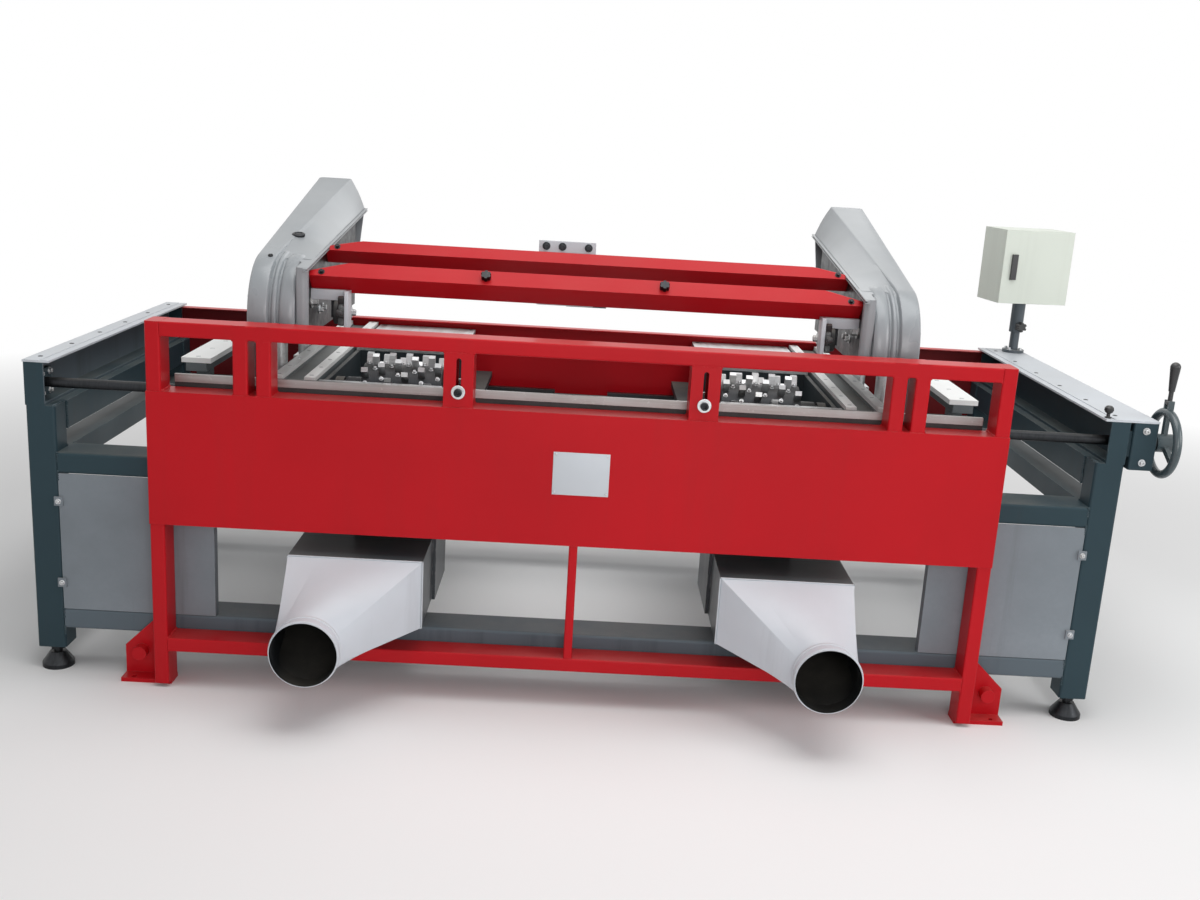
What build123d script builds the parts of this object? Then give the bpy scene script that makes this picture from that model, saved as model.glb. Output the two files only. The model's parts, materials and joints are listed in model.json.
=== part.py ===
from build123d import *
import math
import os

# Board notching machine. Millimetres, +X to the right, +Y to the back, +Z up.
# The origin is on the floor, in the middle of the four levelling feet.

os.makedirs("parts", exist_ok=True)

LEFT = -1
RIGHT = 1

# Clearances
RUN = 0.05
SLIDE = 0.3

# Floor frame
FRAME_LENGTH = 3040
FRAME_DEPTH = 1200
BEAM_TOP = 900
BEAM_HEIGHT = 120
BEAM_WIDTH = 53
BEAM_WEB = 6
BEAM_FLANGE = 9
LEG_SIZE = 80
LEG_WALL = 5
LEG_CORNER = 8
END_TIE_SIZE = 60
END_RAIL_WIDTH = 80
FOOT_HEIGHT = 70
FOOT_RADIUS = 44
FOOT_RIM = 12
FOOT_NECK_RADIUS = 22
FOOT_CONE_TOP = 44
STUD_RADIUS = 12
STUD_REACH = 40
NUT_ACROSS = 36
NUT_HEIGHT = 18
RAIL_DEPTH = 120
RAIL_HEIGHT = 60
RAIL_WALL = 5
RAIL_CORNER = 8
UPPER_RAIL_TOP = 650
LOWER_RAIL_TOP = 190

# Plates on the end beams
COVER_PLATE = 6
COVER_LIP = 17
LEFT_COVER_REACH = 3
RIGHT_COVER_REACH = 80
COVER_GROOVE = 5
COVER_GROOVE_DEPTH = 2
GUSSET_DEPTH = 60

# Side panels
SIDE_PANEL_INNER = 1010
SIDE_PANEL_SHEET = 3
SIDE_PANEL_RETURN = 30
LUG_LENGTH = 24
LUG_HEIGHT = 26
LUG_THICK = 6

# Front guard: tubes with their narrow side to the front
GUARD_HALF = 1162
GUARD_TUBE = 40
GUARD_DEPTH = 80
GUARD_WALL = 4
GUARD_CORNER = 5
GUARD_TOP = 1044
GUARD_PANEL_TOP = 856
GUARD_PANEL_BOTTOM = 484
GUARD_BOTTOM = 109
GUARD_SHEET = 3
PAIR_OUTER_X = 911
PAIR_INNER_X = 849
SLOT_POST_X = 330
SLOT_POST_WIDTH = 80
SLOT_POST_SETBACK = 0.5
STRUT_WIDTH = 24
STRUT_DEPTH = 40
GUARD_FOOT_LENGTH = 143
GUARD_FOOT_DEPTH = 56
GUARD_FOOT_PLATE = 12
GUARD_FOOT_INSET = 40
GUSSET_PLATE = 10
GUSSET_TOP = 174
GUSSET_NOSE = 94
GUSSET_SHOULDER = 20
FOOT_BOSS_RADIUS = 20
FOOT_BOSS_LENGTH = 40
FOOT_BOSS_X = 1218
FOOT_BOSS_Z = 80
ANCHOR_RADIUS = 7
ANCHOR_X = 1232
DRAIN_RADIUS = 8

# Stop bar behind the guard
STOP_THICK = 11
STOP_HEIGHT = 22
STOP_BOTTOM = 868
STOP_END_GAP = 12
SEAL_HEIGHT = 18
SEAL_THICK = 8
STOP_TAB_WIDTH = 50
STOP_TAB_TOP = 918
STOP_BOLT_Z = 898
STOP_TRAVEL = 85
STOP_BOLT_RADIUS = 6
SLOT_GAP = 0.6
STOP_WASHER_RADIUS = 19
STOP_WASHER = 3
STOP_HEAD_RADIUS = 11
STOP_HEAD = 12
HEX_SOCKET_RADIUS = 5.5

# Rear guard
REAR_GUARD_TOP = 895
REAR_GUARD_SHEET = 4
REAR_GUARD_FLANGE = 40
REAR_GUARD_LAP = 40

# Feed tracks, wear strips and outer supports
TRACK_INNER = 750
TRACK_WIDTH = 122
TRACK_TOP = 868
TRACK_WALL = 6
TRACK_FRONT = -500
TRACK_REAR = 580
TRACK_GROOVE = 56
TRACK_GROOVE_DEPTH = 5
TRACK_FOOT_PLATE = 12
STRIP_WIDTH = 30
STRIP_HEIGHT = 12
OUTER_X = 1134
OUTER_STRIP_WIDTH = 86
OUTER_STRIP = 15
OUTER_FRONT = -330
OUTER_CHANNEL_WIDTH = 60
OUTER_CHANNEL = 25
OUTER_TUBE = 40
OUTER_UPRIGHT_FRONT = -240
OUTER_UPRIGHT_REAR = 400

# Press columns
COLUMN_X = 893
COLUMN_FRONT = -300
COLUMN_REAR = 20
COLUMN_RADIUS = 20
COLUMN_TOP = 1170
COLUMN_BLOCK_BOTTOM = 790
COLUMN_BLOCK_HEIGHT = 60
COLUMN_BLOCK_DEPTH = 70
COLLAR_RADIUS = 28
COLLAR_HEIGHT = 20

# Adjusting screw and handwheel
SCREW_Y = -555
SCREW_Z = 838
SCREW_RADIUS = 14
SCREW_HOLE_GAP = 3
SCREW_END_GAP = 4
LEFT_BEARING_HALF = 38
LEFT_BEARING_LENGTH = 34
RIGHT_BEARING_DEPTH = 90
RIGHT_BEARING_LENGTH = 80
RIGHT_BEARING_HEIGHT = 134
RIGHT_BEARING_NECK = 11
NECK_HALF = 36
SHAFT_COLLAR_RADIUS = 24
SHAFT_COLLAR = 12
WHEEL_RADIUS = 88
WHEEL_RIM_RADIUS = 12
WHEEL_HUB_RADIUS = 26
WHEEL_HUB_LENGTH = 50
WHEEL_SPOKE_WIDTH = 16
WHEEL_SPOKE_THICK = 12
WHEEL_SPOKES = 3
EAR_GAP = 18
EAR_THICK = 6
EAR_HALF = 8
GRIP_PIN_RADIUS = 4
GRIP_PIN_LIFT = 26
GRIP_EYE_RADIUS = 9
GRIP_STEM_RADIUS = 6.5
GRIP_STEM = 26
GRIP_THIN = 8.5
GRIP_FLARE = 14
GRIP_LENGTH = 82

# Slide rails and cutter carriages
SLIDE_RAIL_WIDTH = 24
SLIDE_RAIL_HEIGHT = 24
SLIDE_RAIL_Y = 540
SLIDE_RAIL_INNER = 96
CARRIAGE_TRAVEL = 240
CARRIAGE_INNER = 330
CARRIAGE_OUTER = 740
CARRIAGE_HALF_DEPTH = 580
CARRIAGE_PLATE = 20
CARRIAGE_LIFT = 50
BLOCK_LENGTH = 80
BLOCK_WIDTH = 56
BLOCK_FLOOR_GAP = 6
BLOCK_INSET = 14
WALL_PLATE = 12
NUT_X = 570
NUT_LENGTH = 60
NUT_HALF = 22
TABLE_INNER = 395
TABLE_DROP = 8
TABLE_PLATE = 12
TABLE_FRONT = -540
REAR_TABLE_FRONT = 90
TABLE_REAR = 580
TABLE_CORNER = 6

# Cutters
CUTTER_Y = -350
NOTCH_DEPTH = 63
CUTTER_INNER = 405
CUTTER_WIDTH = 230
CUTTER_RADIUS = 120
DRUM_RADIUS = 86
KNIFE_COLUMNS = 10
KNIVES_ROUND = 6
KNIFE_STAGGER = 35
KNIFE_THICK = 12
KNIFE_ROOT = 60
KNIFE_SIDE_GAP = 4
CUT_CLEAR = 12
CUT_SIDE_CLEAR = 7
ARBOR_RADIUS = 25
BEARING_LENGTH = 40
BEARING_HALF_DEPTH = 50
BEARING_GAP = 10
BEARING_CAP = 43
CUTTER_PULLEY_RADIUS = 34
PULLEY_WIDTH = 30
PULLEY_GAP = 6
PULLEY_GROOVES = 3
GROOVE_DEPTH = 4

# Cutter motors and belts
MOTOR_Y = 60
MOTOR_Z = 585
MOTOR_RADIUS = 85
MOTOR_LENGTH = 240
MOTOR_FINS = 16
MOTOR_FIN_HEIGHT = 8
MOTOR_FIN_THICK = 6
MOTOR_FOOT_WIDTH = 140
MOTOR_FOOT_LENGTH = 170
MOTOR_SHAFT_RADIUS = 14
MOTOR_BORE_DEPTH = 40
MOTOR_PULLEY_RADIUS = 60
BELT_THICK = 8
BELT_WIDTH = 24
BELT_GAP = 0.4
BELT_SLOT_MARGIN = 30

# Dust hoods
DUCT_WALL = 2
DUCT_INNER = 410
DUCT_OUTER = 780
DUCT_BOTTOM = 228
DUCT_TOP = 422
DUCT_FRONT = -700
DUCT_SHAFT_GAP = 2
DUCT_FLANGE = 15
DUCT_FLANGE_THICK = 5
COLLAR_X = 685
COLLAR_Z = 236
COLLAR_OUTSIDE = 90
COLLAR_START = -895
COLLAR_MOUTH = -945

# Arms: the side outline is a front wall, a large bend and a rising top
ARM_INNER = 764
ARM_OUTER = 930
ARM_FRONT = -540
ARM_BOTTOM = 985
ARM_BEND = 170
ARM_TOP_FRONT_Y = -340
ARM_TOP_FRONT_Z = 1226
ARM_REAR = 400
ARM_REAR_TOP = 1392
ARM_REAR_DROP = 100
ARM_SKIRT_REAR = 240
ARM_SHEET = 4
ARM_STEP = 5
ARM_STEP_X = 866
ARM_BAND_X = 802
ARM_RIDGE_REAR_X = 812
ARM_RIDGE_INSET = 2
ARM_WALL_FOOT = 2
RIM_FRONT_Z = 1186
RIM_REAR_Z = 1295
RIM_THICK = 10
RIM_SETBACK = 14
ARM_PLATE_X = 775
ARM_PLATE = 8
ARM_PLATE_FRONT = -500
ARM_PLATE_BOTTOM = 990
SLEEVE_HEIGHT = 90
SLEEVE_DEPTH = 70
SLEEVE_BOTTOM = 1030

# Feed chain drive
CHAIN_Z = 1085
IDLER_Y = -425
DRIVE_Y = 150
SPROCKET_RADIUS = 67.6
SPROCKET_WIDTH = 22
SPROCKET_X = 825
SPROCKET_TEETH = 18
TOOTH_GAP_RADIUS = 6
CHAIN_WIDTH = 26
CHAIN_THICK = 14
CHAIN_GAP = 0.4
IDLER_STUB_RADIUS = 12
STUB_END = 846
FEED_SHAFT_RADIUS = 15
FEED_SHAFT_END = 850
GEARBOX_HALF = 65
GEARBOX_DEPTH = 110
GEARBOX_HEIGHT = 90
GEARMOTOR_RADIUS = 45
GEARMOTOR_LENGTH = 190
BRACKET_INNER = -150
BRACKET_OUTER = 20
BRACKET_PLATE = 10
BRACKET_TOP = 1272
BRACKET_ARM = 50

# Tie bars
FRONT_TIE_Y = -465
FRONT_TIE_Z = 1162
FRONT_TIE_UPPER = 50
FRONT_TIE_LOWER = 71
REAR_TIE_Y = -240
REAR_TIE_Z = 1212
REAR_TIE_UPPER = 40
REAR_TIE_LOWER = 57
TIE_THICK = 8
TIE_TAPER_LENGTH = 110
TIE_TAPER = 0.7

# Clamp screws on the front tie bar
CLAMP_MIDDLE = -34
CLAMP_HALF_SPACING = 250
CLAMP_RADIUS = 6
CLAMP_CLEAR = 1
CLAMP_DROP = 16
CLAMP_KNOB_RADIUS = 14
CLAMP_KNOB = 16
CLAMP_FLUTES = 6

# Press rollers
ROLLER_X = 715
ROLLER_WIDTH = 40
ROLLER_Y = -300
ROLLER_Z = 1040
ROLLER_RADIUS = 36
ROLLER_AXLE_RADIUS = 8
ROLLER_EAR = 8
ROLLER_BAR = 20
ROLLER_BAR_LIFT = 54

# Control box and its post
POST_X = 1560
POST_Y = 545
POST_RADIUS = 16
POST_FLANGE_RADIUS = 38
POST_FLANGE = 10
POST_TOP = 1090
BOX_WIDTH = 256
BOX_DEPTH = 150
BOX_HEIGHT = 255
BOX_BOTTOM = 1092
BOX_WALL = 2
BOX_TURN = 9
SOCKET_RADIUS = 23
SOCKET_HEIGHT = 112
DOOR_THICK = 14
DOOR_SHEET = 2
HINGE_RADIUS = 5
HINGE_PIN_RADIUS = 2.5
HINGE_LEAF = 30
HINGE_KNUCKLE = 12
HINGE_INSET = 55
LATCH_X = -88
LATCH_WIDTH = 20
LATCH_HEIGHT = 88
LATCH_THICK = 9
LATCH_PIN_RADIUS = 6
KNOB_STEM_RADIUS = 5
KNOB_RADIUS = 17
KNOB_LENGTH = 24
KNOB_DROP = 90

# Places worked out from the sizes above
HALF_LENGTH = FRAME_LENGTH / 2
FRONT = -FRAME_DEPTH / 2
REAR = FRAME_DEPTH / 2
BEAM_INNER = HALF_LENGTH - BEAM_WIDTH
BEAM_BOTTOM = BEAM_TOP - BEAM_HEIGHT
LEG_INNER = HALF_LENGTH - LEG_SIZE
COVER_TOP = BEAM_TOP + COVER_PLATE
FOOT_SPACING_X = 2 * (HALF_LENGTH - LEG_SIZE / 2)
FOOT_SPACING_Y = FRAME_DEPTH - LEG_SIZE
GUARD_BACK = FRONT
GUARD_FRONT = FRONT - GUARD_DEPTH
GUARD_INNER = GUARD_HALF - GUARD_TUBE
STOP_FRONT = GUARD_BACK + SLIDE
STOP_BACK = STOP_FRONT + STOP_THICK
STOP_HALF = GUARD_INNER - STOP_END_GAP
TRACK_OUTER = TRACK_INNER + TRACK_WIDTH
WEAR_TOP = TRACK_TOP + STRIP_HEIGHT
OUTER_STRIP_BOTTOM = UPPER_RAIL_TOP + 220
RIGHT_BEARING_END = HALF_LENGTH + RIGHT_BEARING_LENGTH
COLLAR_INNER_FACE = RIGHT_BEARING_END + SLIDE
WHEEL_X = COLLAR_INNER_FACE + SHAFT_COLLAR + WHEEL_HUB_LENGTH / 2
PLATE_BOTTOM = UPPER_RAIL_TOP + CARRIAGE_LIFT
PLATE_TOP = PLATE_BOTTOM + CARRIAGE_PLATE
TABLE_TOP = WEAR_TOP - TABLE_DROP
TABLE_BOTTOM = TABLE_TOP - TABLE_PLATE
CUTTER_Z = TABLE_TOP + NOTCH_DEPTH - CUTTER_RADIUS
CUTTER_OUTER = CUTTER_INNER + CUTTER_WIDTH
CUT_FRONT = CUTTER_Y - CUTTER_RADIUS - CUT_CLEAR
CUT_REAR = CUTTER_Y + CUTTER_RADIUS + CUT_CLEAR
OUTER_BEARING_START = CUTTER_OUTER + BEARING_GAP
OUTER_BEARING_END = OUTER_BEARING_START + BEARING_LENGTH
INNER_BEARING_END = CUTTER_INNER - BEARING_GAP - SLIDE
INNER_BEARING_START = INNER_BEARING_END - BEARING_LENGTH
PULLEY_START = OUTER_BEARING_END + PULLEY_GAP
PULLEY_END = PULLEY_START + PULLEY_WIDTH
MOTOR_END = CUTTER_OUTER + BEARING_GAP
MOTOR_START = MOTOR_END - MOTOR_LENGTH
ARM_SLOPE = (ARM_REAR_TOP - ARM_TOP_FRONT_Z) / (ARM_REAR - ARM_TOP_FRONT_Y)
RIM_SLOPE = (RIM_REAR_Z - RIM_FRONT_Z) / (ARM_REAR - ARM_FRONT)
CHAIN_INNER = SPROCKET_RADIUS + CHAIN_GAP
CHAIN_OUTER = CHAIN_INNER + CHAIN_THICK

# Planes whose Z runs along +X, through the axes of the turning parts
SCREW_PLANE = Plane(origin=(0, SCREW_Y, SCREW_Z), x_dir=(0, 1, 0), z_dir=(1, 0, 0))
WHEEL_PLANE = SCREW_PLANE.offset(WHEEL_X)
CUTTER_PLANE = Plane(origin=(0, CUTTER_Y, CUTTER_Z), x_dir=(0, 1, 0), z_dir=(1, 0, 0))
MOTOR_PLANE = Plane(origin=(0, MOTOR_Y, MOTOR_Z), x_dir=(0, 1, 0), z_dir=(1, 0, 0))
IDLER_PLANE = Plane(origin=(0, IDLER_Y, CHAIN_Z), x_dir=(0, 1, 0), z_dir=(1, 0, 0))
DRIVE_PLANE = Plane(origin=(0, DRIVE_Y, CHAIN_Z), x_dir=(0, 1, 0), z_dir=(1, 0, 0))
BOX_TURN_RADIANS = math.radians(BOX_TURN)
BOX_PLANE = Plane(
    origin=(POST_X, POST_Y, BOX_BOTTOM),
    x_dir=(math.cos(BOX_TURN_RADIANS), math.sin(BOX_TURN_RADIANS), 0),
    z_dir=(0, 0, 1),
)


def slab(x0, x1, y0, y1, z0, z1, mode=Mode.ADD):
    """A square-edged block between two corners."""
    with Locations(((x0 + x1) / 2, (y0 + y1) / 2, (z0 + z1) / 2)):
        Box(abs(x1 - x0), abs(y1 - y0), abs(z1 - z0), mode=mode)


def bar_x(x0, x1, y0, y1, z0, z1, corner, mode=Mode.ADD):
    """A bar along X whose long edges are rounded."""
    with BuildSketch(Plane.YZ.offset(min(x0, x1))) as section:
        with Locations(((y0 + y1) / 2, (z0 + z1) / 2)):
            RectangleRounded(abs(y1 - y0), abs(z1 - z0), corner)
    extrude(section.sketch, amount=abs(x1 - x0), mode=mode)


def bar_z(x0, x1, y0, y1, z0, z1, corner, mode=Mode.ADD):
    """A bar along Z whose long edges are rounded."""
    with BuildSketch(Plane.XY.offset(z0)) as section:
        with Locations(((x0 + x1) / 2, (y0 + y1) / 2)):
            RectangleRounded(abs(x1 - x0), abs(y1 - y0), corner)
    extrude(section.sketch, amount=z1 - z0, mode=mode)


def rod_x(x0, x1, y, z, radius, mode=Mode.ADD):
    """A round bar or bore along X."""
    with Locations(Location(((x0 + x1) / 2, y, z), (0, 90, 0))):
        Cylinder(radius, abs(x1 - x0), mode=mode)


def rod_y(y0, y1, x, z, radius, mode=Mode.ADD):
    """A round bar or bore along Y."""
    with Locations(Location((x, (y0 + y1) / 2, z), (90, 0, 0))):
        Cylinder(radius, abs(y1 - y0), mode=mode)


def rod_z(z0, z1, x, y, radius, mode=Mode.ADD):
    """A round bar or bore along Z."""
    with Locations((x, y, (z0 + z1) / 2)):
        Cylinder(radius, abs(z1 - z0), mode=mode)


def keep(part, name):
    """Label a finished piece and write its file."""
    part.label = name
    export_step(part, f"parts/{name}.step")


# End frames: channel beam, two legs, a deep tube and a tie, welded together
def end_frame(side):
    outer = side * HALF_LENGTH
    with BuildPart() as frame:
        slab(outer, side * BEAM_INNER, FRONT, REAR, BEAM_BOTTOM, BEAM_TOP)
        slab(
            outer - side * BEAM_WEB,
            side * (BEAM_INNER - 1),
            FRONT + BEAM_WEB,
            REAR - BEAM_WEB,
            BEAM_BOTTOM + BEAM_FLANGE,
            BEAM_TOP - BEAM_FLANGE,
            mode=Mode.SUBTRACT,
        )
        for leg_front in (FRONT, REAR - LEG_SIZE):
            leg_rear = leg_front + LEG_SIZE
            bar_z(outer, side * LEG_INNER, leg_front, leg_rear, FOOT_HEIGHT, BEAM_BOTTOM, LEG_CORNER)
            bar_z(
                outer - side * LEG_WALL,
                side * (LEG_INNER + LEG_WALL),
                leg_front + LEG_WALL,
                leg_rear - LEG_WALL,
                FOOT_HEIGHT + LEG_WALL,
                BEAM_BOTTOM - LEG_WALL,
                LEG_CORNER - LEG_WALL,
                mode=Mode.SUBTRACT,
            )
            rod_z(
                FOOT_HEIGHT - 1,
                FOOT_HEIGHT + LEG_WALL + 1,
                side * (HALF_LENGTH - LEG_SIZE / 2),
                leg_front + LEG_SIZE / 2,
                STUD_RADIUS + SLIDE,
                mode=Mode.SUBTRACT,
            )
        # Deep tube under the channel, open below, then the rail and the tie, level with the long rails
        tube_bottom = BEAM_BOTTOM - LEG_SIZE
        slab(outer, side * LEG_INNER, FRONT + LEG_SIZE, REAR - LEG_SIZE, tube_bottom, BEAM_BOTTOM)
        slab(
            outer - side * LEG_WALL,
            side * (LEG_INNER + LEG_WALL),
            FRONT + LEG_SIZE,
            REAR - LEG_SIZE,
            tube_bottom - 1,
            BEAM_BOTTOM - LEG_WALL,
            mode=Mode.SUBTRACT,
        )
        for tie_top, tie_width in ((UPPER_RAIL_TOP, END_RAIL_WIDTH), (LOWER_RAIL_TOP, END_TIE_SIZE)):
            tie_outer = outer - side * (LEG_SIZE - tie_width) / 2
            tie_inner = tie_outer - side * tie_width
            slab(tie_outer, tie_inner, FRONT + LEG_SIZE, REAR - LEG_SIZE, tie_top - END_TIE_SIZE, tie_top)
            slab(
                tie_outer - side * LEG_WALL,
                tie_inner + side * LEG_WALL,
                FRONT + LEG_SIZE,
                REAR - LEG_SIZE,
                tie_top - END_TIE_SIZE - 1,
                tie_top - LEG_WALL,
                mode=Mode.SUBTRACT,
            )
        rod_x(
            outer + side,
            outer - side * (BEAM_WEB + 1),
            SCREW_Y,
            SCREW_Z,
            SCREW_RADIUS + SCREW_HOLE_GAP,
            mode=Mode.SUBTRACT,
        )
        if side == RIGHT:
            # Gusset under the overhang that carries the control post
            with BuildSketch(Plane.XZ.offset(-POST_Y - GUSSET_DEPTH / 2)) as gusset:
                with BuildLine():
                    Polyline(
                        (HALF_LENGTH, BEAM_BOTTOM),
                        (HALF_LENGTH, BEAM_TOP),
                        (HALF_LENGTH + RIGHT_COVER_REACH, BEAM_TOP),
                        (HALF_LENGTH + RIGHT_COVER_REACH, BEAM_TOP - BEAM_FLANGE),
                        close=True,
                    )
                make_face()
            extrude(gusset.sketch, amount=GUSSET_DEPTH)
    return frame.part


keep(end_frame(LEFT), "end_frame_left")
keep(end_frame(RIGHT), "end_frame_right")

# Four long rails between the end frames
with BuildPart() as long_rails:
    for rail_front in (FRONT, REAR - RAIL_DEPTH):
        for rail_top in (UPPER_RAIL_TOP, LOWER_RAIL_TOP):
            rail_rear = rail_front + RAIL_DEPTH
            rail_bottom = rail_top - RAIL_HEIGHT
            bar_x(-LEG_INNER, LEG_INNER, rail_front, rail_rear, rail_bottom, rail_top, RAIL_CORNER)
            bar_x(
                -LEG_INNER,
                LEG_INNER,
                rail_front + RAIL_WALL,
                rail_rear - RAIL_WALL,
                rail_bottom + RAIL_WALL,
                rail_top - RAIL_WALL,
                RAIL_CORNER - RAIL_WALL,
                mode=Mode.SUBTRACT,
            )
keep(long_rails.part, "long_rails")

# Levelling feet: pad, cone, stud and nut
with BuildPart() as one_foot:
    with BuildSketch(Plane.XZ) as foot_profile:
        with BuildLine():
            Polyline(
                (0, 0),
                (FOOT_RADIUS, 0),
                (FOOT_RADIUS, FOOT_RIM),
                (FOOT_NECK_RADIUS, FOOT_CONE_TOP),
                (STUD_RADIUS, FOOT_CONE_TOP),
                (STUD_RADIUS, FOOT_HEIGHT + STUD_REACH),
                (0, FOOT_HEIGHT + STUD_REACH),
                close=True,
            )
        make_face()
    revolve(axis=Axis.Z)
    with BuildSketch(Plane.XY.offset(FOOT_HEIGHT - NUT_HEIGHT)):
        RegularPolygon(NUT_ACROSS / 2, 6, major_radius=False)
    extrude(amount=NUT_HEIGHT)
with BuildPart() as levelling_feet:
    with GridLocations(FOOT_SPACING_X, FOOT_SPACING_Y, 2, 2):
        add(one_foot.part)
keep(levelling_feet.part, "levelling_feet")

# Cover plates on the end beams
with BuildPart() as beam_covers:
    cover_inner = BEAM_INNER - COVER_LIP
    for side, reach in ((LEFT, LEFT_COVER_REACH), (RIGHT, RIGHT_COVER_REACH)):
        slab(side * (HALF_LENGTH + reach), side * cover_inner, FRONT, REAR, BEAM_TOP, COVER_TOP)
        groove_x = side * (BEAM_INNER + COVER_GROOVE)
        slab(
            groove_x,
            groove_x + side * COVER_GROOVE,
            FRONT - 1,
            REAR + 1,
            COVER_TOP - COVER_GROOVE_DEPTH,
            COVER_TOP + 1,
            mode=Mode.SUBTRACT,
        )
keep(beam_covers.part, "beam_covers")

# Side panels between the rails, with the lugs that hold them to the legs
with BuildPart() as side_panels:
    panel_bottom = LOWER_RAIL_TOP
    panel_top = UPPER_RAIL_TOP - RAIL_HEIGHT
    panel_height = panel_top - panel_bottom
    for side in (LEFT, RIGHT):
        inner = side * SIDE_PANEL_INNER
        slab(inner, side * LEG_INNER, FRONT, FRONT + SIDE_PANEL_SHEET, panel_bottom, panel_top)
        slab(
            inner,
            inner + side * SIDE_PANEL_SHEET,
            FRONT,
            FRONT + SIDE_PANEL_RETURN,
            panel_bottom,
            panel_top,
        )
        for share in (0.2, 0.8):
            lug_z = panel_bottom + share * panel_height
            slab(
                side * (LEG_INNER - LUG_LENGTH / 2),
                side * (LEG_INNER + LUG_LENGTH / 2),
                FRONT - LUG_THICK,
                FRONT,
                lug_z - LUG_HEIGHT / 2,
                lug_z + LUG_HEIGHT / 2,
            )
keep(side_panels.part, "side_panels")

# Front guard: every tube first, then the hollows, which join up inside
guard_uprights = [(-GUARD_INNER - GUARD_TUBE / 2, GUARD_TUBE, GUARD_FOOT_PLATE, GUARD_TOP)]
guard_uprights.append((GUARD_INNER + GUARD_TUBE / 2, GUARD_TUBE, GUARD_FOOT_PLATE, GUARD_TOP))
for side in (LEFT, RIGHT):
    for centre in (PAIR_OUTER_X, PAIR_INNER_X):
        guard_uprights.append((side * centre, GUARD_TUBE, GUARD_PANEL_TOP - GUARD_TUBE, GUARD_TOP))
guard_crossbars = (GUARD_TOP, GUARD_PANEL_TOP, GUARD_PANEL_BOTTOM + GUARD_TUBE, GUARD_BOTTOM + GUARD_TUBE)

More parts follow.
